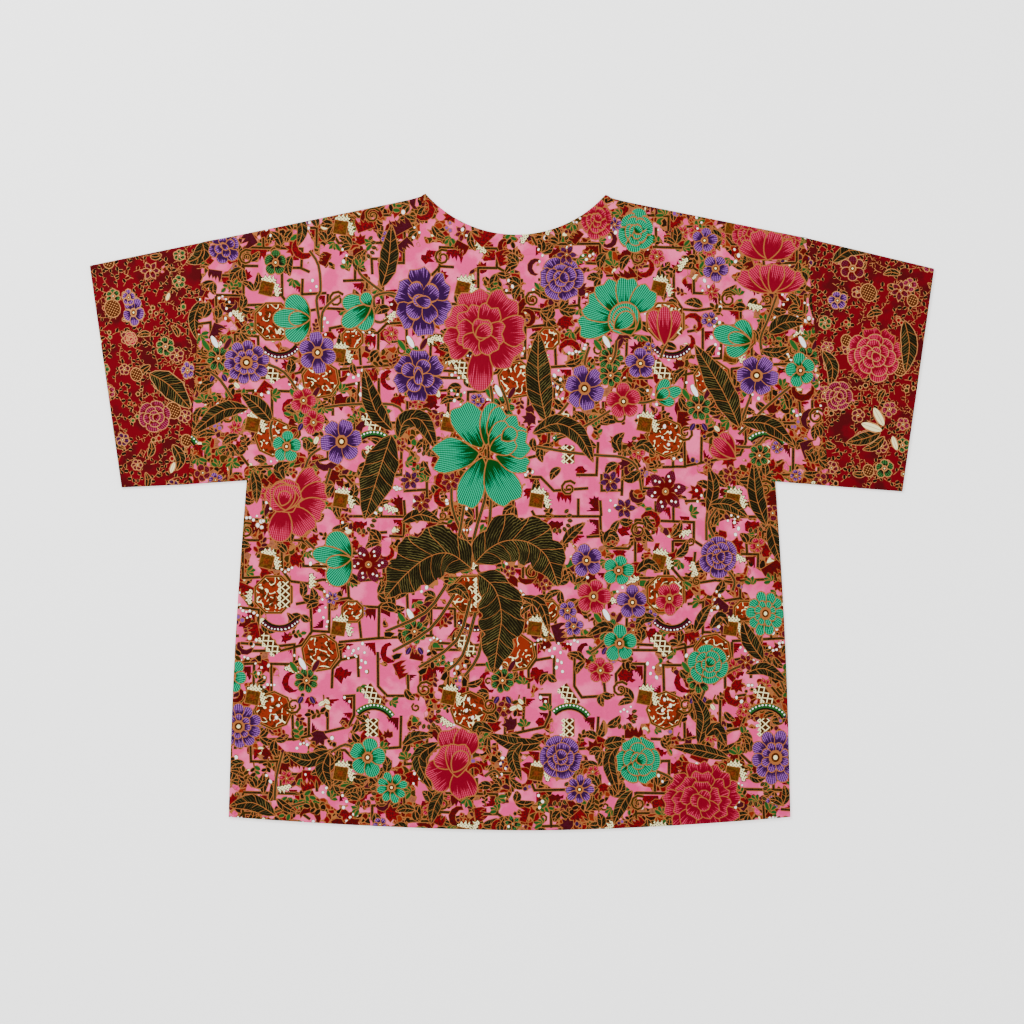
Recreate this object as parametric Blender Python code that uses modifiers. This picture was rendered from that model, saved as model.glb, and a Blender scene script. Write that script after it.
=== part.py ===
# Batik crop shirt in a plain T cut, laid flat with its back up: a back and a front, each cut with
# its half sleeves in one, and a red sleeve end on each arm, which is one strip folded at the top.
# Sizes are in metres. +Y runs up to the neck, -X is the wearer's left, and z 0 is the surface it
# lies on.

import math

import bmesh
import bpy

for old in list(bpy.data.objects):
    bpy.data.objects.remove(old, do_unlink=True)

WALL = 0.0012  # one layer of cloth with its hems and seams pressed in
SEAM_GAP = 0.0003  # between pieces that are sewn together or lie on each other
STACK = 2 * WALL + SEAM_GAP  # both layers, pressed flat
CELL = 0.014  # length of a grid cell up the back
FLAT_CELL = 0.028  # the same in the front, which is flat all over

HEM_LOWEST_X = 0.0185
HEM_LOWEST_Y = -0.3185
HEM_BOW = 0.0135  # how much higher the hem's ends are than its lowest point
HEM_LEFT_RUN = 0.302  # from the lowest point to the left end
HEM_RIGHT_RUN = 0.260
HEM_ROUNDNESS = 1.7  # 2 is a parabola
SIDE_BOW = 0.0027  # how far the side seams swell outwards at half their length
BACK_NECK_DROP = 0.0405
FRONT_NECK_DROP = 0.1450  # deep enough for a head with no fastening

NECK_LEFT_X = -0.0865
NECK_RIGHT_X = 0.0935
UNDERARM_Y = 0.0315
NECK_POINT_Y = 0.3185

# The lines that run up a panel, from the wearer's left: where each meets the hem, the underarm
# row and the shoulder row, and the number of back cells between it and the next line
LINE_COLUMNS = ("hem_x", "under_x", "under_y", "top_x", "top_y", "cells")
LINES = (
    (-0.2835, -0.3235, 0.0275, -0.3095, 0.2699, 4),  # left sleeve seam
    (-0.2835, -0.2655, UNDERARM_Y, -0.2640, 0.2790, 11),  # left side seam
    (-0.1150, -0.1130, UNDERARM_Y, -0.1115, 0.3105, 2),  # where the left shoulder turns up
    (-0.0890, -0.0880, UNDERARM_Y, NECK_LEFT_X, NECK_POINT_Y, 16),  # left neck point
    (0.0950, 0.0940, 0.0305, NECK_RIGHT_X, 0.3175, 2),  # right neck point
    (0.1210, 0.1200, 0.0305, 0.1185, 0.3095, 11),  # where the right shoulder turns up
    (0.2785, 0.2635, 0.0305, 0.2640, 0.2804, 4),  # right side seam
    (0.2785, 0.3175, 0.0260, 0.2945, 0.2742, 0),  # right sleeve seam
)
LEFT_SEAM, LEFT_SIDE, LEFT_NECK, RIGHT_SIDE, RIGHT_SEAM = 0, 1, 3, 6, 7

# The two cuffs, as their foot and their top
CUFF_COLUMNS = ("foot_x", "foot_y", "top_x", "top_y")
CUFFS = {
    "left": (-0.3905, 0.0245, -0.4225, 0.2465),
    "right": (0.3905, 0.0205, 0.4225, 0.2435),
}

# Low swells where the upper layer has trapped air or springs back from a press mark: middle,
# half length, half width, turn of its length from +X, and rise
SWELL_COLUMNS = ("x", "y", "half_length", "half_width", "turn_deg", "rise")
SWELLS = (
    (-0.150, 0.150, 0.110, 0.055, 62, 0.0017),  # left shoulder blade
    (0.120, 0.130, 0.100, 0.050, -50, 0.0013),  # right shoulder blade
    (-0.010, -0.020, 0.170, 0.050, 84, 0.0011),  # down the middle
    (-0.170, -0.130, 0.120, 0.048, 76, 0.0015),  # left waist
    (0.190, -0.100, 0.130, 0.052, -80, 0.0014),  # right waist
    (0.060, -0.230, 0.130, 0.042, 8, 0.0011),  # above the hem
    (-0.120, -0.262, 0.090, 0.034, -12, 0.0009),  # above the hem, left
    (-0.268, 0.150, 0.085, 0.034, 70, 0.0011),  # left half sleeve
    (0.262, 0.130, 0.085, 0.034, -68, 0.0012),  # right half sleeve
    (0.222, 0.243, 0.066, 0.022, -3, 0.0013),  # under the right shoulder's cross seam
    (0.150, 0.222, 0.060, 0.020, -76, 0.0009),  # tuck below the right shoulder
)
SLEEVE_SWELLS = (
    (-0.360, 0.150, 0.080, 0.030, 80, 0.0013),
    (0.358, 0.130, 0.080, 0.030, -80, 0.0013),
)

SLEEVE_STATIONS = 8
SLEEVE_CELLS = 13  # across one layer of a sleeve end
FOLD_RADIUS = STACK / 2
FOLD_STEP = 0.0003  # the inner wall's last cell before the fold
FOLD_TURNS = (-90, -30, 30, 90)  # degrees round a fold

PINK = (0.70, 0.17, 0.33, 1.0)
RED = (0.31, 0.012, 0.022, 1.0)
COTTON_ROUGHNESS = 0.82

shirt = bpy.data.collections.new("batik_crop_shirt")
bpy.context.scene.collection.children.link(shirt)


def between(start, end, share):
    return start + (end - start) * share


def row(columns, values):
    return dict(zip(columns, values))


def swell(x, y, rows):
    """Rise of the cloth over its pressed height: the sum of the swells that reach (x, y)."""
    total = 0.0
    for values in rows:
        s = row(SWELL_COLUMNS, values)
        turn = math.radians(s["turn_deg"])
        along = (x - s["x"]) * math.cos(turn) + (y - s["y"]) * math.sin(turn)
        aside = (y - s["y"]) * math.cos(turn) - (x - s["x"]) * math.sin(turn)
        reach = (along / s["half_length"]) ** 2 + (aside / s["half_width"]) ** 2
        if reach < 1:
            total += s["rise"] * (1 - reach) ** 2
    return total


def cotton(name, colour):
    made = bpy.data.materials.new(name)
    made.use_nodes = True
    shader = made.node_tree.nodes["Principled BSDF"]
    shader.inputs["Base Color"].default_value = colour
    shader.inputs["Roughness"].default_value = COTTON_ROUGHNESS
    shader.inputs["Metallic"].default_value = 0.0
    return made


def add_piece(name, mesh, material):
    mesh.materials.append(material)
    made = bpy.data.objects.new(name, mesh)
    shirt.objects.link(made)
    return made


def hem_height(x):
    run = HEM_LEFT_RUN if x < HEM_LOWEST_X else HEM_RIGHT_RUN
    return HEM_LOWEST_Y + HEM_BOW * (abs(x - HEM_LOWEST_X) / run) ** HEM_ROUNDNESS


def back_neck(share):
    """Height of the back's neck edge under its two points: a shallow arc of a circle."""
    half_width = (NECK_RIGHT_X - NECK_LEFT_X) / 2
    radius = (half_width**2 + BACK_NECK_DROP**2) / (2 * BACK_NECK_DROP)
    aside = half_width * (2 * share - 1)
    return BACK_NECK_DROP - radius + math.sqrt(radius**2 - aside**2)


def front_neck(share):
    """The same for the front: a deep half ellipse."""
    return FRONT_NECK_DROP * math.sqrt(max(0.0, 1 - (2 * share - 1) ** 2))


def panel_lines(neck, cells_scale):
    """Hem, underarm and shoulder point of each line of the grid, and the first and last of the
    lines that reach the hem."""
    found, body = [], []
    for number, (start, end) in enumerate(zip(LINES, LINES[1:])):
        a, b = row(LINE_COLUMNS, start), row(LINE_COLUMNS, end)
        in_neck = number == LEFT_NECK  # both panels have all of these, for a round neck edge
        cells = a["cells"] if in_neck else max(1, round(a["cells"] * cells_scale))
        last = number == RIGHT_SIDE
        for step in range(cells + last):
            share = step / cells
            if in_neck:  # closer together where the neck edge is steep
                share = (1 - math.cos(math.pi * share)) / 2
            hem_x = between(a["hem_x"], b["hem_x"], share)
            top_y = between(a["top_y"], b["top_y"], share)
            if in_neck:
                top_y -= neck(share)
            if LEFT_SIDE <= number < RIGHT_SIDE or (number == RIGHT_SIDE and step == 0):
                body.append(len(found))
            found.append(
                (
                    (hem_x, hem_height(hem_x)),
                    (
                        between(a["under_x"], b["under_x"], share),
                        between(a["under_y"], b["under_y"], share),
                    ),
                    (between(a["top_x"], b["top_x"], share), top_y),
                )
            )
    return found, body[0], body[-1]


def panel(name, neck, cell, swells, upper_face, material):
    """A panel of the T cut: a sheet of cells between its hem, underarm and shoulder rows, given
    its wall downwards. The half sleeves have the upper block of rows only."""
    lines, first, last = panel_lines(neck, CELL / cell)
    low_rows = round((UNDERARM_Y - HEM_LOWEST_Y) / cell)
    high_rows = round((NECK_POINT_Y - UNDERARM_Y) / cell)
    middle = (first + last) / 2
    sheet = bmesh.new()
    made = {}

    def add_point(line, level, x, y):
        made[line, level] = sheet.verts.new((x, y, upper_face + swell(x, y, swells)))

    for line, (hem, under, top) in enumerate(lines):
        seam_inset = {0: SEAM_GAP / 2, len(lines) - 1: -SEAM_GAP / 2}.get(line, 0.0)
        if first <= line <= last:
            for level in range(low_rows):
                share = level / low_rows
                bow = SIDE_BOW * math.sin(math.pi * share) * (line - middle) / (last - middle)
                x = between(hem[0], under[0], share) + bow
                add_point(line, level, x, between(hem[1], under[1], share))
        for level in range(high_rows + 1):
            share = level / high_rows
            x = between(under[0], top[0], share) + seam_inset
            add_point(line, low_rows + level, x, between(under[1], top[1], share))

    for line, level in list(made):
        corners = [(line, level), (line + 1, level), (line + 1, level + 1), (line, level + 1)]
        if all(corner in made for corner in corners):
            sheet.faces.new([made[corner] for corner in corners])

    mesh = bpy.data.meshes.new(name)
    sheet.to_mesh(mesh)
    sheet.free()
    mesh.shade_smooth()
    piece = add_piece(name, mesh, material)
    wall = piece.modifiers.new("wall", "SOLIDIFY")
    wall.thickness = WALL
    wall.offset = -1
    return piece


def sleeve_ring(foot, top):
    """Outer and inner ring of a sleeve end between its foot and its top: flat on z 0, round the
    fold at the top of the arm, back over the upper layer, and round the seam under the arm."""
    # Each point is a share of the way up, a way past it along the cloth, and a height
    low = [(step / SLEEVE_CELLS, 0.0) for step in range(1, SLEEVE_CELLS)]
    outer = [(share, past, 0.0) for share, past in low]
    inner = [(share, past, WALL) for share, past in low]
    fold_outer = []
    for degrees in FOLD_TURNS:
        turn = math.radians(degrees)
        past = FOLD_RADIUS * (math.cos(turn) - 1)
        fold_outer.append((past, FOLD_RADIUS * (math.sin(turn) + 1)))
    fold_inner = [
        (-FOLD_RADIUS - FOLD_STEP, WALL),
        (-WALL, WALL),
        (-WALL, STACK - WALL),
        (-FOLD_RADIUS - FOLD_STEP, STACK - WALL),
    ]
    outer += [(1.0, past, height) for past, height in fold_outer]
    inner += [(1.0, past, height) for past, height in fold_inner]
    outer += [(share, past, STACK) for share, past in reversed(low)]
    inner += [(share, past, STACK - WALL) for share, past in reversed(low)]
    outer += [(0.0, -past, height) for past, height in reversed(fold_outer)]
    inner += [(0.0, -past, height) for past, height in reversed(fold_inner)]

    length = math.dist(foot, top)
    up = ((top[0] - foot[0]) / length, (top[1] - foot[1]) / length)

    def places(ring):
        found = []
        for share, past, height in ring:
            x = foot[0] + up[0] * (share * length + past)
            y = foot[1] + up[1] * (share * length + past)
            lift = swell(x, y, SLEEVE_SWELLS) if height > FOLD_RADIUS else 0.0
            found.append((x, y, height + lift))
        return found

    return places(outer), places(inner)


def sleeve_end(name, side, material):
    """A sleeve end: a flattened tube from the seam to the cuff, open at both."""
    seam = row(LINE_COLUMNS, LINES[LEFT_SEAM if side == "left" else RIGHT_SEAM])
    cuff = row(CUFF_COLUMNS, CUFFS[side])
    outwards = math.copysign(1, cuff["foot_x"])
    gap = outwards * SEAM_GAP / 2
    tube = bmesh.new()
    rings = []
    for station in range(SLEEVE_STATIONS + 1):
        share = station / SLEEVE_STATIONS
        near = 1 - share
        foot = (
            between(seam["under_x"], cuff["foot_x"], share) + gap * near,
            between(seam["under_y"], cuff["foot_y"], share),
        )
        top = (
            between(seam["top_x"], cuff["top_x"], share) + gap * near,
            between(seam["top_y"], cuff["top_y"], share),
        )
        outer, inner = sleeve_ring(foot, top)
        rings.append(
            ([tube.verts.new(place) for place in outer], [tube.verts.new(place) for place in inner])
        )
    count = len(rings[0][0])
    for corner in range(count):
        after = (corner + 1) % count
        for (outer, inner), (next_outer, next_inner) in zip(rings, rings[1:]):
            tube.faces.new((outer[corner], outer[after], next_outer[after], next_outer[corner]))
            tube.faces.new((inner[corner], next_inner[corner], next_inner[after], inner[after]))
        for outer, inner in (rings[0], rings[-1]):
            tube.faces.new((outer[corner], outer[after], inner[after], inner[corner]))
    bmesh.ops.recalc_face_normals(tube, faces=tube.faces)
    mesh = bpy.data.meshes.new(name)
    tube.to_mesh(mesh)
    tube.free()
    mesh.shade_smooth()
    return add_piece(name, mesh, material)


pink_print = cotton("pink_print", PINK)
red_print = cotton("red_print", RED)

# The front lies on the surface, and the back on it
panel("front_panel", front_neck, FLAT_CELL, (), WALL, pink_print)
panel("back_panel", back_neck, CELL, SWELLS, STACK, pink_print)

# The red sleeve ends take both layers of the half sleeves between their own
sleeve_end("left_sleeve_end", "left", red_print)
sleeve_end("right_sleeve_end", "right", red_print)
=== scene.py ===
# Batik crop shirt in a plain T cut, laid flat with its back up and seen from straight above:
# a back and a front of pink flowered cotton, and a red vine-printed sleeve end on each arm.

import math
import random

import bpy
import numpy as np
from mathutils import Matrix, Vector
from mathutils.geometry import delaunay_2d_cdt
from mathutils.kdtree import KDTree


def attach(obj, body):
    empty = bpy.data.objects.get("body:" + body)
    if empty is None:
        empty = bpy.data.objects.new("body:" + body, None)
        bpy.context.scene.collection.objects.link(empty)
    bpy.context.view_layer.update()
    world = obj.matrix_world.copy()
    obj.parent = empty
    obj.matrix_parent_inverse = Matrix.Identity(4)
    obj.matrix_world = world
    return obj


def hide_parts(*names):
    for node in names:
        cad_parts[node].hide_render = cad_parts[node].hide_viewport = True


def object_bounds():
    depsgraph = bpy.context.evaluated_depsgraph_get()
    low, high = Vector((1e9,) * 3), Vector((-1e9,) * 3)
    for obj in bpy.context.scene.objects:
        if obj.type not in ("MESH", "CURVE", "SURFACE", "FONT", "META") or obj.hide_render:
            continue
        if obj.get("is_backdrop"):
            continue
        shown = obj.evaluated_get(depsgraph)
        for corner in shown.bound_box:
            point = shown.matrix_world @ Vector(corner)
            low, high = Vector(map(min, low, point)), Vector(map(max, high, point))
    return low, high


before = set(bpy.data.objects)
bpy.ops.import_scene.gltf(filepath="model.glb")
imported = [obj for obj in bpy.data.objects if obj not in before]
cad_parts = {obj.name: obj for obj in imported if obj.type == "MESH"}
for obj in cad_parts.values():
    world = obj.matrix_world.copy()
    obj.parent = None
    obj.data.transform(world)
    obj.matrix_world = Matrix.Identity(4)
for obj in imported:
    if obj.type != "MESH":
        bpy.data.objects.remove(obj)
cad_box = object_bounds()
bpy.ops.object.select_all(action="DESELECT")

# Camera, floor and light
# The camera looks straight down on a square of 1.024 m, so that a millimetre of cloth is a pixel.
# A pale room lights the shirt from all round, and one wide lamp above its left shoulder.
LENS = 100.0
SENSOR = 36.0
SQUARE = 1.024
CLOTH_TOP = 0.0027

bpy.ops.object.camera_add(location=(0.0, 0.0, CLOTH_TOP + SQUARE * LENS / SENSOR))
camera = bpy.context.object
camera.data.lens = LENS
camera.data.sensor_width = SENSOR
bpy.context.scene.camera = camera

bpy.ops.mesh.primitive_plane_add(size=14.0, location=(0.0, 0.0, -0.0004))
floor = bpy.context.object
floor.name = "floor"
pale_paper = bpy.data.materials.new("pale_paper")
pale_paper.use_nodes = True
paper_shader = pale_paper.node_tree.nodes["Principled BSDF"]
paper_shader.inputs["Base Color"].default_value = (0.97, 0.97, 0.965, 1.0)
paper_shader.inputs["Emission Color"].default_value = (1.0, 1.0, 1.0, 1.0)
paper_shader.inputs["Emission Strength"].default_value = 0.9
paper_shader.inputs["Roughness"].default_value = 0.9
paper_shader.inputs["Specular IOR Level"].default_value = 0.1
floor.data.materials.append(pale_paper)
floor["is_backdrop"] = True

room = bpy.data.worlds.new("room")
room.use_nodes = True
room.node_tree.nodes["Background"].inputs["Color"].default_value = (1.0, 1.0, 1.0, 1.0)
room.node_tree.nodes["Background"].inputs["Strength"].default_value = 1.25
bpy.context.scene.world = room

bpy.ops.object.light_add(type="AREA", location=(-1.1, 1.5, 1.7))
lamp = bpy.context.object
lamp.data.shape = "DISK"
lamp.data.size = 0.9
lamp.data.energy = 62.0
lamp.rotation_euler = Vector((1.1, -1.5, -1.7)).to_track_quat("-Z", "Y").to_euler()

# Pink batik cloth
# A fine plain cotton, waxed and dyed by hand: gold-lined flowers and leaves on a repeating ground
# of broken key fret. Both body panels are cut from it, so its drawing comes before them. Places
# are in millimetres on a chart, across from the left and down from the top of the camera's square.
CHART_MIDDLE = 511.5

INKS = {
    "pink": "dd3b79", "pale_pink": "f76996", "tan": "8f5137", "gold": "9b5b2c", "pale_gold": "b97c48",
    "bark": "352603", "coffee": "1b0c01", "crimson": "72010c", "deep_crimson": "540103",
    "scarlet": "740118", "rose": "b21a3c", "rust": "7e220d", "cream": "faefae", "white": "fafafa",
    "mustard": "59390a", "umber": "441a02", "emerald": "009464", "pine": "013809", "lilac": "713a88",
    "violet": "2a0636", "pale_lilac": "bf95ce", "maroon": "3f0517", "leaf_dark": "120c01",
    "leaf_green": "625a2c", "fern": "1b511d", "red_ground": "66010e", "wine": "7c1638",
    "dark_red": "3a0306",
}

# The manners that a shape is drawn in, which the cloth's finish knows by their numbers
MANNERS = (
    "fill", "petal", "seed", "leaf", "disc", "heart", "band", "worms", "square", "lattice", "lace", "arc",
    "ground",
)
NO_EDGE = 1000.0


def dye(name):
    """The ink's colour as the shader takes it, from its sRGB code."""
    parts = [int(INKS[name][i : i + 2], 16) / 255 for i in (0, 2, 4)]
    return [p / 12.92 if p <= 0.04045 else ((p + 0.055) / 1.055) ** 2.4 for p in parts]


class Shape:
    """One dyed shape: its outline, the manner it is drawn in, its ink and shade, and the line it
    is measured along, with its half width there. Past that width the wax line shows."""

    def __init__(self, points, manner, ink, shade=None, line=None, width=NO_EDGE, dark=0.4, blunt=0.5):
        self.points = np.asarray(points, float)
        self.manner = manner
        self.ink = ink
        self.shade = shade or ink
        self.line = None if line is None else np.asarray(line, float)
        self.width = width
        self.dark = dark
        self.blunt = blunt


def chart(x, y):
    """Where a place on the chart is, in millimetres from the scene's middle."""
    return (x - CHART_MIDDLE, CHART_MIDDLE - y)


def chart_of(across, up):
    """The place on the chart of what is so far from the scene's middle."""
    return CHART_MIDDLE + across, CHART_MIDDLE - up


def route(places):
    return np.array([chart(x, y) for x, y in places])


def aim(turn):
    """The cosine and sine of a turn in degrees."""
    return math.cos(math.radians(turn)), math.sin(math.radians(turn))


def ahead(at, turn, reach):
    """The point at a reach from another one, in the direction of a turn."""
    c, s = aim(turn)
    return (at[0] + reach * c, at[1] + reach * s)


def turned(points, at, turn, size=1.0):
    """Points drawn about 0, turned anticlockwise and set at a point."""
    c, s = (size * part for part in aim(turn))
    return np.array([(at[0] + a * c - b * s, at[1] + a * s + b * c) for a, b in points])


def placed(points, x, y, turn=0.0, size=1.0):
    """The same, set at a place on the chart."""
    return turned(points, chart(x, y), turn, size)


def ring(radius, count, tall=1.0):
    """A round outline."""
    turns = [2 * math.pi * (i + 0.5) / count for i in range(count)]
    return [(radius * math.cos(t), radius * tall * math.sin(t)) for t in turns]


def eased(path, steps=3):
    """A path with smooth bends through all of its points."""
    p = np.array([path[0], *path, path[-1]], float)
    t = (np.arange(steps) / steps)[:, None]
    parts = [
        0.5 * (2 * b + (c - a) * t + (2 * a - 5 * b + 4 * c - d) * t**2 + (3 * b - a - 3 * c + d) * t**3)
        for a, b, c, d in zip(p, p[1:], p[2:], p[3:])
    ]
    return np.vstack(parts + [p[-1:]])


def sides(path, half_width):
    """The left and right edge of a band along a path, mitred at its bends."""
    path = np.asarray(path, float)
    runs = np.diff(path, axis=0)
    runs /= np.linalg.norm(runs, axis=1)[:, None] + 1e-9
    before, after = np.vstack([runs[:1], runs]), np.vstack([runs, runs[-1:]])
    mitre = np.maximum(1 + (before * after).sum(axis=1), 0.5)[:, None]
    aside = (before + after)[:, ::-1] * (-1, 1) / mitre
    aside *= np.broadcast_to(half_width, len(path))[:, None]
    return path + aside, path - aside


def band(path, half_width):
    left, right = sides(path, half_width)
    return np.vstack([left, right[::-1]])


def twice_area(points):
    """Twice the area of a closed outline, above 0 where it runs anticlockwise."""
    x, y = points[:, 0], points[:, 1]
    return (x * np.roll(y, -1) - y * np.roll(x, -1)).sum()


def widened(points, by):
    """A closed outline moved outwards."""
    p = np.asarray(points, float)
    run = np.roll(p, -1, axis=0) - p
    run /= np.linalg.norm(run, axis=1)[:, None] + 1e-9
    out = run[:, ::-1] * ((1, -1) if twice_area(p) > 0 else (-1, 1))
    earlier = np.roll(out, 1, axis=0)
    mitre = np.maximum(1 + (out * earlier).sum(axis=1), 0.45)[:, None]
    return p + by * (out + earlier) / mitre


def lined(cloth, points, manner, ink, wax=0.8, **finish):
    """A shape with its wax line as a wider shape beneath it."""
    cloth.append(Shape(widened(points, wax), "fill", "gold"))
    cloth.append(Shape(points, manner, ink, **finish))


def stroke(cloth, path, half_width, ink, wax=0.75, shade=None):
    """A line of dye between two wax lines."""
    outline = band(path, np.asarray(half_width) + wax)
    cloth.append(Shape(outline, "band", ink, shade, path, half_width))


def spot(cloth, points, manner, ink, shade, x, y, turn, width=NO_EDGE, dark=1.0):
    """A shape drawn about 0, which is measured from its own middle."""
    line = placed([(0, 0), (1, 0)], x, y, turn)
    cloth.append(Shape(placed(points, x, y, turn), manner, ink, shade, line, width, dark))


def disc(cloth, x, y, radius, ink, shade=None, wax=0.5, tall=1.0, turn=0.0, manner="disc", count=6):
    outline = ring((radius + wax) / math.cos(math.pi / count), count, tall)
    spot(cloth, outline, manner, ink, shade, x, y, turn, radius, tall)


def petal(cloth, foot, turn, length, half_width, colours, frill, dark, blunt=0.5, wax=0.8):
    """A petal from its foot, widest past its middle. A large one has its tip nicked by the frill,
    and one that is not blunt is pointed."""
    nicked = length > 17 and frill > 0.05
    count = 8 if length < 8 else 11 if length < 14 else 15 if length < 22 else 24
    widest = half_width * 1.12
    outline = []
    for step in range(count):
        phi = 2 * math.pi * step / count
        nick = 1.0
        if nicked:
            nick -= frill * math.sin(phi / 2) ** 6 * (0.5 + 0.5 * math.cos(5.2 * (phi - math.pi)))
        along = length * (1 - math.cos(phi)) / 2 * nick
        across = widest * math.sin(phi) * math.sin(phi / 2) ** blunt
        if nicked:
            across *= 1 + 0.5 * frill * math.sin(3 * phi)
        outline.append((along, across))
    if not blunt:
        shoulder = [(0.3 * length, half_width), (0.66 * length, half_width * 0.95)]
        other = [(along, -across) for along, across in reversed(shoulder)]
        outline = [(0, 0), *shoulder, (length * 1.06, 0), *other]
    points = turned(outline, foot, turn)
    line = np.array([foot, ahead(foot, turn, length)])
    ink, shade = colours
    if nicked:
        lined(cloth, points, "petal", ink, wax, shade=shade, line=line, dark=dark)
    else:
        points = widened(points, wax + 0.2)
        cloth.append(Shape(points, "petal", ink, shade, line, widest, dark, blunt))


def leaflet(cloth, at, turn, length, half_width, ink, shade, wax=0.75):
    """A small pointed leaf or seed from its foot."""
    aside = half_width * 1.1 + wax
    near, far = 0.25 * length, 0.7 * length
    outline = [(-wax, 0), (near, aside), (far, aside), (length + wax, 0), (far, -aside), (near, -aside)]
    line = [at, ahead(at, turn, length)]
    cloth.append(Shape(turned(outline, at, turn), "seed", ink, shade, line, half_width, 1.0, 0.0))


# Each colour's ink, the deep shade of its petals' base, and the ink of the flower's heart
COLOURS = {
    "emerald": ("emerald", "pine", "emerald"),
    "purple": ("lilac", "violet", "pale_lilac"),
    "red": ("rose", "scarlet", "rose"),
    "maroon": ("maroon", "deep_crimson", "gold"),
    "fern": ("fern", "leaf_dark", "gold"),
    "violet": ("violet", "maroon", "lilac"),
    "wine": ("wine", "deep_crimson", "pale_gold"),
}

# How much further out the deep base of a petal reaches
DEEPER = {"red": 0.10, "purple": 0.06, "emerald": -0.16}

# Rounds of petals, from the outermost: how many, where their feet are, their length and half
# width as shares of the flower's radius, the turn of the first, and the frill
ROUNDS = {
    "five": ((5, 0.12, 0.88, 0.42, 0, 0.12),),
    "six": ((6, 0.14, 0.86, 0.36, 30, 0.10),),
    "eight": ((8, 0.20, 0.80, 0.27, 0, 0.04),),
    "star": ((6, 0.10, 0.90, 0.24, 0, 0.0),),
    "daisy": ((10, 0.38, 0.62, 0.25, 0, 0.06), (8, 0.16, 0.40, 0.16, 20, 0.0)),
    "rose": (
        (6, 0.25, 0.75, 0.46, 0, 0.16), (5, 0.06, 0.60, 0.34, 36, 0.14), (3, -0.08, 0.42, 0.24, 80, 0.10),
    ),
    "peony": (
        (8, 0.40, 0.60, 0.33, 0, 0.20), (7, 0.20, 0.56, 0.29, 22, 0.20), (5, 0.04, 0.46, 0.24, 10, 0.16),
        (3, -0.08, 0.32, 0.15, 50, 0.10),
    ),
    "iris": (
        (6, 0.28, 0.72, 0.38, 8, 0.18), (4, 0.08, 0.54, 0.25, 40, 0.12), (2, -0.22, 0.50, 0.15, 75, 0.0),
    ),
}

# Each flower's kind, place, radius, turn, tallness and colour
FLOWERS = (
    ("iris", 422, 301, 30, 90, 1.25, "purple"), ("iris", 418, 375, 27, 20, 1.0, "purple"),
    ("rose", 561, 278, 22, 60, 1.0, "purple"), ("daisy", 246, 362, 22, 10, 1.0, "purple"),
    ("six", 317, 352, 19, 10, 1.1, "purple"), ("six", 341, 441, 21, 100, 1.1, "purple"),
    ("five", 640, 363, 15, 90, 1.0, "purple"), ("six", 584, 388, 21, 75, 1.1, "purple"),
    ("six", 756, 375, 22, 85, 1.0, "purple"), ("five", 586, 560, 15, 100, 1.1, "purple"),
    ("five", 632, 602, 15, 95, 1.1, "purple"), ("rose", 718, 556, 19, 30, 1.05, "purple"),
    ("daisy", 238, 726, 22, 20, 1.0, "purple"), ("daisy", 775, 757, 24, 5, 1.1, "purple"),
    ("rose", 560, 757, 21, 110, 1.05, "purple"), ("eight", 579, 789, 14, 0, 1.0, "purple"),
    ("five", 704, 240, 12, 80, 1.0, "purple"), ("five", 715, 268, 13, 60, 1.0, "purple"),
    ("iris", 224, 246, 15, 70, 1.1, "purple"), ("five", 567, 610, 9, 60, 1.0, "purple"),
    ("five", 573, 626, 9, 20, 1.0, "purple"), ("five", 286, 446, 14, 85, 1.1, "emerald"),
    ("five", 800, 370, 15, 100, 1.1, "emerald"), ("five", 618, 570, 15, 80, 1.0, "emerald"),
    ("five", 619, 643, 16, 90, 1.1, "emerald"), ("five", 367, 757, 18, 80, 1.1, "emerald"),
    ("daisy", 765, 613, 19, 0, 1.15, "emerald"), ("eight", 391, 787, 15, 15, 1.0, "emerald"),
    ("rose", 708, 664, 20, 100, 1.0, "emerald"), ("rose", 638, 760, 22, 60, 1.1, "emerald"),
    ("rose", 636, 231, 17, 80, 1.3, "emerald"), ("six", 231, 676, 15, 20, 1.1, "emerald"),
    ("five", 275, 262, 11, 90, 1.2, "fern"), ("five", 623, 401, 16, 95, 1.1, "red"),
    ("five", 593, 596, 16, 75, 1.1, "red"), ("five", 669, 598, 13, 60, 1.2, "red"),
    ("five", 303, 400, 12, 70, 1.1, "red"), ("five", 313, 422, 11, 30, 1.1, "red"),
    ("rose", 596, 219, 15, 80, 1.3, "red"), ("peony", 701, 800, 40, 10, 1.0, "red"),
    ("five", 600, 670, 12, 90, 1.0, "red"), ("rose", 748, 234, 16, 70, 1.0, "red"),
    ("rose", 787, 240, 13, 20, 1.0, "red"), ("star", 368, 564, 20, 0, 1.0, "maroon"),
    ("star", 665, 491, 20, 10, 1.1, "maroon"), ("star", 410, 480, 9, 0, 1.0, "violet"),
    ("star", 421, 502, 9, 20, 1.0, "maroon"), ("star", 610, 481, 10, 10, 1.0, "violet"),
    ("star", 624, 508, 10, 0, 1.0, "violet"), ("star", 450, 481, 9, 15, 1.0, "maroon"),
    ("star", 566, 254, 9, 0, 1.0, "violet"), ("star", 745, 662, 8, 0, 1.0, "maroon"),
    ("eight", 610, 375, 11, 10, 1.0, "fern"), ("eight", 759, 455, 11, 0, 1.0, "fern"),
)

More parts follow.
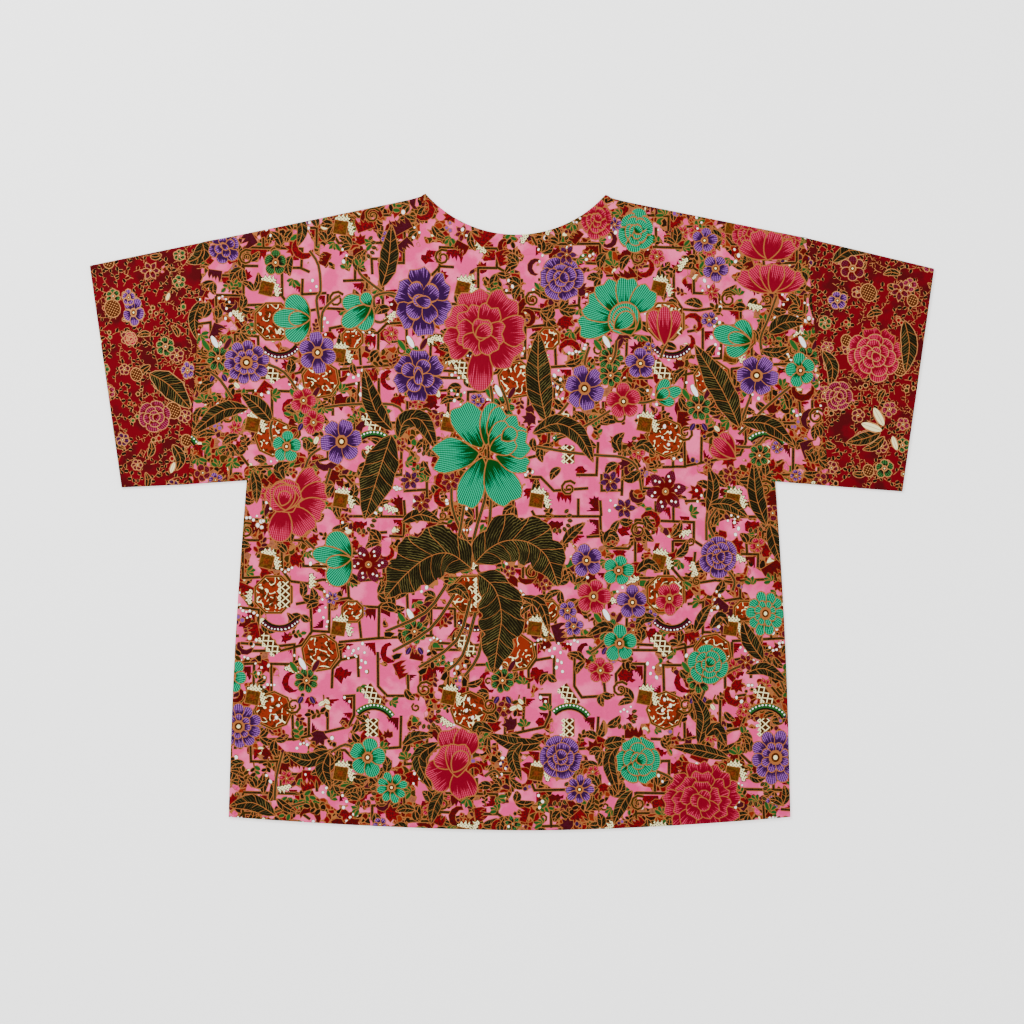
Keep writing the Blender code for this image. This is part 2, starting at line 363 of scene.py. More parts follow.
# Flowers drawn petal by petal: place and colour, then each petal's turn, foot, length, half width
# and frill
HAND_DRAWN = (
    # The emerald orchid in the middle, and the rose-red peony above it
    (484, 452, "emerald", (
        (118, 6, 50, 17, 0.1), (80, 8, 42, 10, 0.05), (186, 6, 50, 18, 0.22), (250, 6, 54, 14, 0.08),
        (299, 8, 52, 18, 0.1), (342, 12, 36, 10, 0.1), (60, 14, 36, 16, 0.2), (38, 16, 34, 15, 0.2),
        (14, 18, 30, 14, 0.2), (44, 8, 30, 14, 0.12), (22, 6, 28, 11, 0.1), (36, 22, 16, 7, 0.05),
    )),
    (481, 332, "red", (
        (268, 12, 46, 13, 0.0), (104, 14, 31, 17, 0.16), (52, 14, 34, 18, 0.16), (150, 12, 27, 15, 0.16),
        (204, 12, 28, 17, 0.16), (322, 12, 34, 19, 0.16), (4, 14, 32, 16, 0.16), (124, 4, 26, 14, 0.2),
        (68, 6, 24, 12, 0.2), (182, 4, 22, 13, 0.2), (356, 2, 22, 13, 0.2), (236, 0, 24, 12, 0.2),
        (300, 2, 22, 10, 0.1), (82, -8, 22, 10, 0.1), (30, -6, 16, 7, 0.1),
    )),
    # The emerald carnation at the right, and the half peony at the left side
    (625, 319, "emerald", (
        (190, 8, 42, 14, 0.12), (156, 8, 38, 16, 0.16), (122, 8, 38, 14, 0.14), (87, 8, 36, 12, 0.12),
        (50, 8, 34, 13, 0.12), (150, -18, 34, 17, 0.05), (110, -16, 32, 15, 0.05),
        (140, -12, 24, 11, 0.0), (40, -14, 22, 8, 0.0),
    )),
    (284, 497, "red", (
        (36, 14, 28, 12, 0.14), (8, 16, 28, 12, 0.14), (338, 16, 27, 13, 0.14), (304, 12, 32, 14, 0.12),
        (262, 10, 34, 12, 0.0), (120, -16, 34, 18, 0.1), (70, -14, 30, 16, 0.1), (180, -14, 30, 15, 0.1),
        (95, -12, 24, 11, 0.0), (70, -8, 14, 6, 0.0),
    )),
    # The red tulip above the hem, and red flowers at the right shoulder
    (457, 764, "red", (
        (104, 6, 32, 14, 0.12), (70, 4, 34, 13, 0.14), (212, 4, 30, 17, 0.12), (286, 4, 32, 14, 0.1),
        (150, 0, 24, 13, 0.1), (88, -12, 34, 13, 0.1), (60, -8, 22, 8, 0.0),
    )),
    (772, 292, "red", (
        (152, 2, 38, 9, 0.1), (28, 2, 34, 9, 0.1), (128, 2, 32, 9, 0.1), (52, 2, 30, 9, 0.1),
        (104, 0, 30, 8, 0.1), (78, 0, 30, 8, 0.1),
    )),
    (767, 259, "red", (
        (150, 2, 30, 8, 0.1), (30, 2, 30, 8, 0.1), (112, 2, 30, 9, 0.1), (72, 0, 30, 9, 0.1),
    )),
    (664, 342, "red", ((112, 0, 34, 8, 0.0), (68, 0, 34, 8, 0.0), (90, -2, 38, 7, 0.0))),
    (733, 456, "red", ((116, 0, 26, 7, 0.0), (160, 0, 24, 7, 0.0), (138, -2, 28, 6, 0.0))),
    # Emerald buds, from the foot
    (309, 318, "emerald", (
        (136, 0, 30, 11, 0), (224, 0, 30, 11, 0), (180, 0, 36, 10, 0), (180, 0, 20, 7, 0),
    )),
    (370, 305, "emerald", ((172, 0, 28, 9, 0), (250, 0, 26, 9, 0), (216, 0, 34, 9, 0), (120, 0, 14, 6, 0))),
    (750, 341, "emerald", ((122, 0, 24, 9, 0), (206, 0, 26, 9, 0), (164, 0, 38, 10, 0), (166, 0, 22, 6, 0))),
    (656, 398, "emerald", ((60, 0, 22, 6, 0), (20, 0, 26, 6, 0), (-14, 0, 18, 5, 0), (34, 0, 14, 5, 0))),
    (350, 558, "emerald", (
        (130, 0, 32, 12, 0), (232, 0, 32, 12, 0), (172, 0, 38, 9, 0), (192, 0, 24, 6, 0),
    )),
)

# Leaves from foot to tip: half width and the midrib's places. The three big ones have lobes.
LOBES = 4
LOBED_LEAVES = (
    (27, ((471, 568), (449, 553), (427, 557), (405, 574), (385, 597))),
    (25, ((474, 563), (489, 548), (507, 540), (528, 542), (546, 556), (558, 586))),
    (22, ((477, 573), (494, 588), (501, 615), (497, 645), (493, 673))),
)
LEAVES = (
    (9, ((381, 287), (388, 262), (391, 224))), (9, ((392, 430), (374, 408), (363, 368))),
    (17, ((391, 434), (379, 470), (364, 519))), (9, ((398, 438), (404, 421), (421, 420), (436, 449))),
    (8, ((248, 408), (222, 410), (192, 433))), (8, ((271, 421), (258, 406), (241, 393))),
    (13, ((546, 421), (538, 380), (538, 332))), (9, ((532, 433), (556, 423), (578, 434), (593, 462))),
    (12, ((739, 427), (722, 390), (694, 344))), (8, ((741, 422), (768, 424), (793, 444))),
    (8, ((768, 333), (784, 322), (804, 322))), (8, ((766, 525), (756, 497), (753, 461))),
    (6, ((707, 512), (713, 488), (708, 466))), (6, ((709, 504), (728, 504), (748, 517))),
    (7, ((769, 524), (775, 545), (780, 562))), (8, ((763, 660), (749, 640), (742, 620))),
    (6, ((745, 673), (764, 668), (787, 682))), (7, ((698, 744), (703, 716), (691, 692))),
    (6, ((705, 736), (716, 728), (726, 746))), (6, ((729, 758), (700, 750), (670, 746))),
    (6, ((620, 743), (608, 760), (618, 794))), (6, ((603, 745), (612, 742), (626, 740))),
    (6, ((632, 790), (622, 803), (613, 824))), (7, ((541, 742), (515, 744), (488, 733))),
    (6, ((522, 742), (512, 756), (521, 780))), (7, ((330, 750), (308, 760), (285, 752))),
    (7, ((328, 752), (322, 768), (330, 788))), (8, ((275, 815), (252, 802), (229, 806))),
    (7, ((438, 742), (418, 758), (432, 790))), (6, ((442, 791), (434, 806), (430, 824))),
    (6, ((401, 522), (420, 514), (441, 522))), (5, ((562, 544), (572, 532), (585, 522))),
    (5, ((640, 470), (630, 478), (621, 477))), (5, ((634, 448), (644, 444), (655, 455))),
    (5, ((620, 452), (616, 441), (624, 432))), (5, ((520, 596), (540, 604), (549, 632))),
    (5, ((446, 592), (458, 588), (469, 600))), (5, ((636, 572), (648, 563), (660, 572))),
    (5, ((604, 543), (610, 534), (619, 541))), (5, ((618, 632), (604, 626), (586, 636))),
    (5, ((402, 745), (414, 736), (432, 735))), (5, ((492, 731), (478, 726), (474, 742))),
    (5, ((252, 470), (256, 484), (256, 503))), (5, ((284, 480), (278, 468), (290, 462))),
    (5, ((298, 214), (302, 230), (297, 246))), (4, ((276, 798), (284, 806), (296, 812))),
    (5, ((760, 350), (776, 352), (790, 346))), (6, ((201, 240), (204, 252), (199, 262))),
    (6, ((812, 290), (815, 306), (813, 318))), (5, ((694, 632), (704, 612), (712, 604))),
    (5, ((710, 628), (720, 616), (728, 626))), (5, ((655, 618), (642, 618), (636, 630))),
)

# Stems: half width, then the route of each
STEMS = (
    (1.1, (
        ((470, 566), (474, 535), (484, 500), (486, 484)), ((477, 562), (488, 530), (491, 486)),
    )),
    (1.0, (
        ((466, 540), (456, 520), (451, 500), (452, 470)), ((452, 560), (460, 528), (466, 486)),
    )),
    (1.1, (
        ((446, 584), (425, 612), (385, 631)), ((454, 594), (430, 628), (392, 651)),
        ((470, 598), (456, 640), (418, 667)), ((475, 612), (462, 655), (444, 672)),
        ((484, 618), (478, 655), (462, 678)),
    )),
    (0.9, (
        ((321, 332), (316, 300), (320, 290), (318, 265), (309, 250)),
        ((321, 332), (322, 312), (332, 300), (340, 295)),
        ((398, 298), (380, 290), (362, 276), (358, 270)),
        ((374, 306), (374, 296), (388, 292), (400, 295)), ((440, 330), (452, 338), (458, 342)),
        ((324, 407), (350, 404), (392, 404), (404, 414)), ((262, 362), (284, 372), (300, 395)),
        ((232, 398), (220, 380), (210, 372)), ((272, 420), (270, 430), (273, 446)),
        ((304, 470), (310, 455), (325, 445)), ((330, 468), (323, 490), (318, 502)),
        ((305, 540), (318, 552), (326, 560)), ((500, 385), (506, 400), (508, 410)),
        ((490, 385), (492, 400), (490, 412)), ((544, 425), (560, 412), (568, 402)),
        ((556, 436), (580, 428), (610, 410)),
        ((536, 446), (570, 452), (600, 455), (622, 457), (636, 466), (641, 490)),
        ((589, 346), (585, 358), (584, 368)), ((616, 340), (614, 356), (606, 368)),
        ((666, 343), (662, 352), (660, 358)), ((637, 402), (645, 402), (656, 399)),
        ((738, 430), (744, 412), (750, 396)), ((738, 434), (752, 420), (768, 404), (790, 386)),
        ((736, 446), (754, 446), (764, 436)), ((762, 355), (760, 338), (768, 318), (776, 296)),
        ((706, 540), (706, 520), (708, 505)), ((713, 536), (708, 522), (716, 508)),
        ((732, 590), (734, 580), (726, 568)), ((765, 528), (772, 526), (782, 548)),
        ((606, 592), (610, 582), (614, 578)), ((626, 586), (632, 584), (636, 590)),
        ((605, 640), (596, 648), (590, 652)), ((704, 690), (700, 700), (697, 708)),
        ((712, 684), (730, 670), (745, 664)), ((430, 790), (424, 776), (430, 752), (444, 745)),
        ((330, 752), (345, 744), (356, 750)), ((274, 800), (276, 776), (282, 752)),
        ((274, 812), (290, 806), (304, 802)), ((518, 742), (534, 744), (544, 752)),
        ((622, 742), (640, 742), (650, 742)), ((654, 770), (668, 776), (680, 786)),
        ((372, 775), (378, 782), (382, 786)), ((484, 776), (494, 770), (500, 776)),
        ((756, 650), (762, 632), (764, 628)), ((763, 660), (776, 672), (784, 690)),
        ((378, 306), (372, 318), (380, 322), (388, 318)),
    )),
)

# The ground repeats every so far across and down. Its fret, in the repeat's own places
REPEAT = (196, 273)
REPEAT_CORNER = (282, 547)
FRET = (
    ((-1, -7), (-1, 22), (8, 34), (24, 36), (40, 33), (66, 35), (66, 51)), ((-12, 21), (-1, 21)),
    ((45, 19), (45, 33)), ((20, 4), (20, 19), (45, 19)), ((60, 6), (84, 6), (84, 20)),
    ((66, 34), (101, 31), (104, 42)), ((101, 31), (101, 10)),
    ((13, 57), (28, 54), (29, 84), (47, 84), (47, 53), (66, 51), (76, 59), (96, 59), (105, 50),
        (124, 48), (125, 70)),
    ((76, 59), (78, 91)), ((96, 59), (96, 91)), ((-46, 103), (-3, 103), (19, 98), (29, 84)),
    ((57, 94), (96, 91), (152, 88)), ((57, 94), (58, 112), (50, 122), (50, 141)),
    ((58, 112), (76, 109), (76, 130)), ((96, 104), (96, 138), (104, 149), (128, 149), (136, 147)),
    ((125, 127), (126, 149)), ((155, 96), (193, 98), (207, 96), (207, 115)),
    ((20, 98), (27, 112), (27, 124)),
    ((145, 117), (167, 116), (166, 149), (185, 148), (185, 117), (207, 117)),
    ((145, 117), (138, 127), (138, 139)), ((60, 148), (71, 148), (71, 167), (66, 180), (10, 192)),
    ((45, 149), (45, 183)), ((27, 162), (27, 188)), ((10, 158), (10, 192), (-2, 192)),
    ((119, 168), (118, 200), (97, 201)), ((144, 180), (153, 180), (162, 192)),
    ((194, 164), (194, 192), (171, 192)), ((144, 187), (144, 221)), ((123, 200), (123, 216), (144, 216)),
    ((45, 203), (62, 202), (76, 216), (110, 214)),
    ((53, 236), (57, 242), (122, 242), (122, 262), (107, 262)), ((99, 242), (99, 224)),
    ((122, 226), (122, 242)), ((157, 245), (215, 247), (215, 266), (223, 271)),
    ((157, 245), (157, 265), (149, 274), (128, 274)), ((157, 265), (172, 265)), ((177, 226), (177, 245)),
    ((194, 231), (194, 246)), ((195, 266), (215, 266)), ((10, 226), (34, 226), (34, 245)),
    ((-24, 214), (-6, 214), (-6, 230)), ((72, 262), (72, 280)), ((89, 273), (89, 258), (104, 258)),
    ((130, 21), (157, 21)), ((157, -8), (157, 30), (180, 30)), ((148, 60), (172, 62), (172, 80)),
    ((148, 60), (148, 88)), ((130, 21), (130, 48)), ((164, 196), (164, 214), (184, 214)),
)

# Crimson flakes that lick the fret: the outline of each kind, then place, turn, size and kind
FLAKE_KINDS = (
    ((0, 0.5), (3, 2.5), (7, 2), (9, 4.5), (10.2, 1.6), (13, 1), (10.4, -1.6), (11, -5), (8, -3.4),
        (6.5, -8), (4.5, -4), (1, -5)),
    ((-8, 0), (8, 0), (8, -9), (6.2, -14), (5, -8.6), (3.2, -6), (2, -12), (0, -7), (-2, -10),
        (-4, -5), (-6, -11), (-8, -6)),
    ((0, 8), (4.4, 9), (6, 6.4), (2.6, 5.4), (0.4, 1), (1.2, -3.4), (5.6, -7), (9.6, -6.6),
        (7.4, -9.4), (2, -9.6), (-2.6, -6.8), (-5, -1), (-3.6, 4.6)),
    ((-2, -4), (3, -5.5), (8, -4), (6.5, -1), (9.5, 1.5), (5.5, 2.5), (6, 6.5), (2.5, 4), (-0.5, 7),
        (-1.5, 2.5), (-5, 2), (-3, -1)),
    ((-11, 1), (1, 1), (1, -11), (-0.4, -12.5), (-1.3, -8), (-2.3, -9.6), (-2.6, -5), (-4.6, -7.6),
        (-4.6, -3.6), (-6.6, -5.2), (-6.4, -2), (-8.8, -3.4), (-9.2, -1)),
    ((-6, 5), (-2, 6.5), (0, 4), (3, 4.6), (4, 2), (7.4, 2.4), (6, -1.5), (3.5, -1), (2.2, -4),
        (0.4, -2.4), (-1.6, -8), (-5, -3.4), (-8, -1.6)),
)
FLAKES = (
    (65, 37, 0, 1.0, 4), (65, 53, 0, 1.25, 4), (86, 61, 0, 0.95, 1), (106, 60, 20, 1.25, 5),
    (61, 127, 0, 1.25, 5), (103, 105, 0, 1.1, 2), (5, 134, 0, 1.15, 2), (20, 91, 60, 1.0, 4),
    (-37, 77, 100, 1.1, 3), (69, 151, 0, 0.9, 4), (69, 166, 0, 0.8, 4), (64, 176, 340, 0.9, 5),
    (124, 128, 90, 0.9, 4), (152, 120, 30, 1.2, 5), (97, 33, 270, 0.8, 4), (120, 236, 270, 1.0, 4),
    (120, 246, 0, 0.9, 4), (120, 260, 270, 0.8, 4), (146, 255, 60, 1.0, 5), (158, 2, 30, 0.9, 3),
    (16, 258, 270, 1.0, 4), (14, 243, 0, 0.8, 4), (62, 30, 90, 0.7, 4), (139, 5, 0, 1.0, 3),
    (148, 130, 330, 1.25, 5), (10, 89, 200, 1.0, 0), (156, 187, 0, 0.9, 5), (152, 171, 20, 0.8, 3),
    (31, 57, 90, 0.9, 4), (40, 80, 270, 0.8, 4), (130, 52, 90, 0.9, 4), (122, 66, 250, 0.8, 0),
    (168, 66, 0, 0.8, 4), (176, 88, 340, 1.1, 5), (205, 99, 0, 0.8, 4), (163, 120, 0, 1.0, 4),
    (182, 145, 270, 0.8, 4), (92, 96, 0, 1.0, 4), (60, 97, 90, 0.9, 4), (33, 118, 0, 1.0, 5),
    (24, 150, 330, 1.0, 0), (48, 152, 90, 0.7, 4), (13, 190, 180, 0.8, 4), (30, 186, 180, 0.9, 4),
    (115, 171, 0, 1.0, 4), (104, 196, 200, 0.9, 3), (140, 190, 0, 1.1, 4), (60, 205, 0, 0.9, 4),
    (86, 218, 0, 0.9, 1), (114, 228, 30, 0.9, 3), (172, 248, 0, 1.0, 1), (154, 250, 0, 0.9, 4),
    (191, 234, 0, 0.9, 4), (36, 228, 0, 1.0, 4), (2, 220, 30, 1.2, 5), (58, 246, 90, 0.8, 4),
    (78, 252, 20, 1.1, 5), (96, 262, 90, 0.8, 4), (2, 268, 40, 1.0, 3), (18, 10, 0, 0.9, 4),
    (42, 22, 0, 0.8, 4), (80, 10, 0, 0.9, 4), (104, 16, 90, 0.9, 4), (128, 26, 0, 0.9, 4),
    (154, 24, 0, 1.0, 4), (176, 33, 0, 0.8, 1), (110, 30, 340, 1.0, 3), (168, 202, 90, 0.9, 4),
    (182, 206, 0, 0.9, 5), (52, 218, 200, 0.9, 3),
)

# What stands on the fret, in the repeat's places: speckled squares with their lace (turn), rust
# fields (radius, turn), lattices (turn, length), arcs (turn, ink), curls (turn), arcs of seeds
# (start), fern-green flowers and white beads
SQUARES = ((166, 150, -12), (56, 81, -8), (58, 226, -10), (180, 14, -14))
RUST_FIELDS = ((187, 163, 16, 20), (38, 105, 16, 10), (187, 47, 17, 0), (70, 64, 9, 0))
LATTICES = ((91, 148, 125, 24), (91, 180, 90, 18), (184, 96, 130, 24), (199, 47, 90, 26))
ARCS = ((91, 168, 180, "fern"), (195, 72, 8, "maroon"))
CURLS = ((142, 142, 0), (90, 214, 0), (54, 25, 0), (11, 158, 180), (160, 256, 20), (120, 76, 200))
SEED_ARCS = ((145, 168, 225), (80, 245, 250))
FERN_FLOWERS = ((24, 133), (132, 84))
BEADS = (
    (42, 44), (45, 48), (40, 52), (43, 60), (37, 63), (41, 70), (45, 74), (44, 79), (80, 96), (76, 101),
    (71, 103), (82, 105), (74, 109), (79, 113), (83, 115), (78, 120), (84, 124), (66, 100), (169, 116),
    (175, 120), (172, 126), (178, 130), (182, 118), (12, 108), (18, 112), (9, 116), (14, 120), (-10, 152),
    (-4, 158), (-12, 163), (-6, 170), (108, 20), (113, 25), (109, 30), (140, 34), (144, 40), (139, 44),
    (62, 150), (67, 154), (22, 216), (27, 221), (23, 227), (132, 226), (137, 231), (131, 236), (180, 228),
    (184, 234), (60, 248), (64, 254), (61, 260), (150, 110), (146, 104), (30, 6), (34, 12), (28, 16),
)


def leaf(cloth, half_width, midrib, lobes=0):
    """A dark leaf with a gold midrib, in two halves so that each has its own side of the rib."""
    rib = eased(route(midrib), 7 if lobes else 4)
    steps = np.linalg.norm(np.diff(rib, axis=0), axis=1)
    share = np.concatenate([[0], np.cumsum(steps)]) / steps.sum()
    width = half_width * np.maximum(np.sin(np.pi * share**0.85), 0.0) ** 0.8
    if lobes:
        width = width * (0.72 + 0.38 * np.abs(np.sin(np.pi * (lobes + 0.5) * share)) ** 0.7)
        width = width * (1 + 0.04 * np.cos(share * 62))
    elif half_width > 7:
        width = width * (1 + 0.07 * np.cos(share * 22))
    light = 0.9 if half_width > 10 else 0.6
    wax = 0.8 if half_width > 7 else 0.62
    for side, dark in zip(sides(rib, width + wax), (light * 0.7, light)):
        half = np.vstack([rib, side[::-1]])
        cloth.append(Shape(half, "leaf", "leaf_dark", "leaf_green", rib, width, dark))


def stretch(shape, middle_y, tall):
    """Makes a shape taller about a height, and its half width as much as its line lets it."""
    shape.points[:, 1] = middle_y + (shape.points[:, 1] - middle_y) * tall
    if shape.line is None:
        return
    run = shape.line[-1] - shape.line[0]
    run = run / np.linalg.norm(run)
    shape.line[:, 1] = middle_y + (shape.line[:, 1] - middle_y) * tall
    if shape.manner in ("disc", "heart"):
        shape.dark = shape.dark * tall
    else:
        shape.width = shape.width * math.hypot(run[1], run[0] * tall)


def bloom(cloth, hand, rounds, x, y, radius, turn, tall, colour):
    """A flower of one or more rounds of petals, each a little different, round its heart."""
    middle = chart(x, y)
    ink, shade, heart = COLOURS[colour]
    first = len(cloth)
    deep = (0.62 if len(ROUNDS[rounds]) > 2 else 0.46) + DEEPER.get(colour, 0.0)
    blunt = 0.0 if rounds == "star" else 0.5
    for count, foot, length, half_width, start, frill in ROUNDS[rounds]:
        for number in range(count):
            angle = turn + start + 360 * number / count + hand.uniform(-5, 5)
            reach = radius * length * hand.uniform(0.92, 1.1)
            at = ahead(middle, angle, radius * foot)
            dark = deep + hand.uniform(-0.07, 0.07)
            petal(cloth, at, angle, reach, radius * half_width, (ink, shade), frill, dark, blunt)
    if rounds in ("five", "six", "eight", "star", "daisy"):
        size = radius * (0.24 if rounds != "star" else 0.13)
        disc(cloth, x, y, size, heart, "gold", 0.8, manner="heart", count=8)
    if rounds == "star" and radius > 12:
        for number in range(6):
            angle = turn + 60 * number
            for aside in (-5, 7):
                c, s = aim(angle + aside)
                out = radius * (0.6 + aside / 70)
                disc(cloth, x + out * c, y - out * s, radius * 0.05, "white", None, 0.3, 1.0, 0, count=5)
    for shape in cloth[first:]:
        stretch(shape, middle[1], tall)


def leaflets(cloth, hand, x, y, turn, length, inks):
    """A sprig of short leaflets along a bent stem."""
    bend = hand.uniform(-30, 30)
    stem = placed([(0, 0), (length * 0.5, length * bend / 150), (length, length * bend / 60)], x, y, turn)
    stroke(cloth, stem, 0.45, "bark", 0.55)
    for share, side in ((0.3, 1), (0.42, -1), (0.66, 1), (0.78, -1), (1.0, 0)):
        at = stem[0] + (stem[2] - stem[0]) * share
        reach = length * hand.uniform(0.36, 0.5)
        ink = hand.choice(inks)
        leaflet(cloth, at, turn + 55 * side + bend * share, reach, reach * 0.27, ink, "coffee", 0.65)


def berries(cloth, hand, x, y, count, inks):
    for number in range(count):
        turn = hand.uniform(0, 360)
        at = ahead((x, y), turn, hand.uniform(2.2, 4.4))
        radius, ink = hand.uniform(1.2, 2.0), hand.choice(inks)
        disc(cloth, *at, radius, ink, "coffee", 0.65, hand.uniform(0.8, 1.25), 0, count=5)


FRET_GOLD = 1.85
FRET_BARK = 1.1
SHAKE = 0.9


def fret_ground(cloth, hand, corners):
    """The repeating ground: flakes, then the gold and the bark of the fret."""
    lines = []
    for corner_x, corner_y in corners:
        for x, y, turn, size, kind in FLAKES:
            shape = placed(FLAKE_KINDS[kind], corner_x + x, corner_y + y, turn, size)
            shape += [(hand.uniform(-0.6, 0.6), hand.uniform(-0.6, 0.6)) for point in shape]
            ink = hand.choice(("crimson", "crimson", "deep_crimson"))
            cloth.append(Shape(shape, "fill", ink, "dark_red"))
        for path in FRET:
            places = []
            for x, y in path:
                shaky_x = corner_x + x + hand.uniform(-SHAKE, SHAKE)
                places.append((shaky_x, corner_y + y + hand.uniform(-SHAKE, SHAKE)))
            lines.append(route(places))
    for half_width, ink, shade in ((FRET_GOLD, "gold", "tan"), (FRET_BARK, "bark", "coffee")):
        for line in lines:
            cloth.append(Shape(band(line, half_width), "fill", ink, shade))


LACE = (
    (-7, -0.5), (7, -0.5), (7.6, 3), (5.4, 2.6), (4.6, 6.4), (2.6, 2.8), (0.6, 7.4), (-1.5, 2.8),
    (-3.8, 6.2), (-5, 2.8), (-7.6, 3.4),
)


def lace(cloth, x, y, turn):
    cloth.append(Shape(placed(widened(LACE, 0.55), x, y, turn), "fill", "bark"))
    spot(cloth, LACE, "lace", "cream", "coffee", x, y, turn)


def curl(out, closer, start, turn, count):
    """A curl that closes in by the same steps, with its turns in radians."""
    steps = [(out - closer * i, start + turn * i) for i in range(count)]
    return [(reach * math.cos(angle), reach * math.sin(angle)) for reach, angle in steps]


# Sizes of the ornaments: half widths and radii, and how far a wax line reaches past them
BIG_CURL = (8.4, 0.52, 0.6, 0.72, 14)
SMALL_CURL = (4.6, 0.42, 0.0, 0.88, 9)
SEED_RING, SEED_TURN = 9, 26
FIELD_BORDER = 2.7
LATTICE_HALF, LATTICE_EDGE = 4.4, 5.2
ARC_RADIUS, ARC_RISE, ARC_HALF, ARC_EDGE = 22, 13, 3.1, 3.9
SPECKLED = ((-7.2, -7.4), (7.2, -7.4), (7.4, 7.2), (-7.4, 7.2))
SPECKLED_HALF = 6.5
FEATHERS = ((-9, -8, 125, "fern"), (-1, -11, 118, "white"), (6, -9, 60, "maroon"))


def ornaments(cloth, hand, left, top):
    """The repeat's ornaments, set from the corner of the repeat."""
    for x, y in BEADS:
        size, tall, turn = hand.uniform(0.85, 1.5), hand.uniform(1.0, 1.5), hand.uniform(-30, 30)
        disc(cloth, left + x, top + y, size, "white", "white", 0.35, tall, turn)
    for x, y, turn in CURLS:
        path = placed(curl(*BIG_CURL), left + x, top + y, turn)
        stroke(cloth, path, np.linspace(1.05, 0.6, len(path)), "bark", 0.6)
    for x, y, start in SEED_ARCS:
        for number in range(7):
            turn = start + SEED_TURN * number
            c, s = aim(turn)
            at = chart(left + x + SEED_RING * c, top + y - SEED_RING * s)
            leaflet(cloth, at, turn, 5.2, 1.5, "leaf_dark", "leaf_green", 0.7)
    for x, y, radius, turn in RUST_FIELDS:
        outline = ring((radius + FIELD_BORDER) / math.cos(math.pi / 8), 8)
        spot(cloth, outline, "worms", "rust", "umber", left + x, top + y, turn, radius)
    for x, y, turn, length in LATTICES:
        half, edge = length / 2, LATTICE_EDGE
        field = [(-half, -edge), (half, -edge), (half, edge), (-half, edge)]
        spot(cloth, field, "lattice", "umber", "cream", left + x, top + y, turn, LATTICE_HALF)
        frill = [(-half, 5)]
        frill += [(-half + length * i / 8, 8.6 if i % 2 else 5.8) for i in range(9)]
        frill += [(half, 5), (half, LATTICE_HALF), (-half, LATTICE_HALF)]
        spot(cloth, frill, "lace", "cream", "coffee", left + x, top + y, turn)
    for x, y, turn, ink in ARCS:
        bow = [ahead((0, ARC_RISE), angle, ARC_RADIUS) for angle in range(212, 329, 13)]
        path = placed(bow, left + x, top + y, turn)
        cloth.append(Shape(band(path, ARC_EDGE), "arc", ink, "leaf_dark", path, ARC_HALF))
    for x, y, turn in SQUARES:
        lace(cloth, left + x + 2, top + y - 7, turn + 8)
        lace(cloth, left + x + 8, top + y + 1, turn - 62)
        spot(cloth, SPECKLED, "square", "mustard", "umber", left + x, top + y, turn, SPECKLED_HALF)
    for x, y in FERN_FLOWERS:
        bloom(cloth, hand, "eight", left + x, top + y, 12, hand.uniform(0, 40), 1.0, "fern")
        for dx, dy, turn, ink in FEATHERS:
            leaflet(cloth, chart(left + x + dx, top + y + dy), turn, 13, 2.3, ink, ink)
        for dx, turn in ((-4, 240), (4, 300)):
            leaflet(cloth, chart(left + x + dx, top + y + 16), turn, 8, 2.4, "violet", "lilac")
        leaflets(cloth, hand, left + x + 17, top + y + 14, -100, 16, ("bark", "leaf_dark", "cream"))


def small_leaf(cloth, x, y, turn, length, half_width):
    """A dark veined leaf with a slight bend."""
    c, s = aim(turn)
    bend = length * 0.14
    middle = (x + length * 0.5 * c + bend * s, y - length * 0.5 * s + bend * c)
    leaf(cloth, half_width, ((x, y), middle, (x + length * c, y - length * s)))


def filler(cloth, hand, x, y):
    """Small growth between the flowers."""
    kind = hand.random()
    turn = hand.uniform(0, 360)
    if kind < 0.30:
        small_leaf(cloth, x, y, turn, hand.uniform(13, 21), hand.uniform(3.2, 4.6))
        if hand.random() < 0.5:
            turn += hand.uniform(50, 110)
            small_leaf(cloth, x, y, turn, hand.uniform(11, 17), hand.uniform(3.0, 4.0))
    elif kind < 0.42:
        for number in range(4):
            reach = hand.uniform(6, 9)
            leaflet(cloth, chart(x, y), turn + 42 * number, reach, 1.7, "fern", "leaf_dark", 0.6)
    elif kind < 0.60:
        shape = placed(FLAKE_KINDS[hand.choice((0, 1, 2, 3))], x, y, turn, hand.uniform(0.8, 1.3))
        ink = hand.choice(("crimson", "crimson", "deep_crimson", "maroon"))
        lined(cloth, shape, "fill", ink, 0.55, shade="dark_red")
    elif kind < 0.70:
        inks = hand.choice((("leaf_dark", "fern"), ("crimson", "maroon"), ("bark", "leaf_dark")))
        leaflets(cloth, hand, x, y, turn, hand.uniform(10, 15), inks)
    elif kind < 0.79:
        inks = hand.choice((("crimson", "maroon"), ("violet", "lilac"), ("leaf_dark", "white")))
        berries(cloth, hand, x, y, hand.randint(3, 5), inks)
    elif kind < 0.88:
        colour = hand.choice(("red", "red", "purple", "maroon", "fern"))
        rounds = hand.choice(("five", "five", "star"))
        bloom(cloth, hand, rounds, x, y, hand.uniform(5.5, 8), turn, 1.0, colour)
    elif kind < 0.94:
        for number in range(4):
            bead_x, bead_y = x + 3.4 * number - 5, y + hand.uniform(-4, 4)
            disc(cloth, bead_x, bead_y, hand.uniform(0.8, 1.4), "white", wax=0.35)
    elif kind < 0.97:
        lace(cloth, x, y, turn)
    else:
        stroke(cloth, placed(curl(*SMALL_CURL), x, y, turn), 0.7, "bark", 0.5)


# How close the growth is at a place, from 0 to 1: close at the shoulders, sides and hem, and
# open in calm areas, each with its middle, half width and half height, where the fret shows
CALM = (
    (350, 665, 110, 75), (590, 690, 105, 50), (570, 500, 70, 60), (300, 290, 70, 50), (430, 270, 70, 40),
    (650, 300, 70, 40),
)


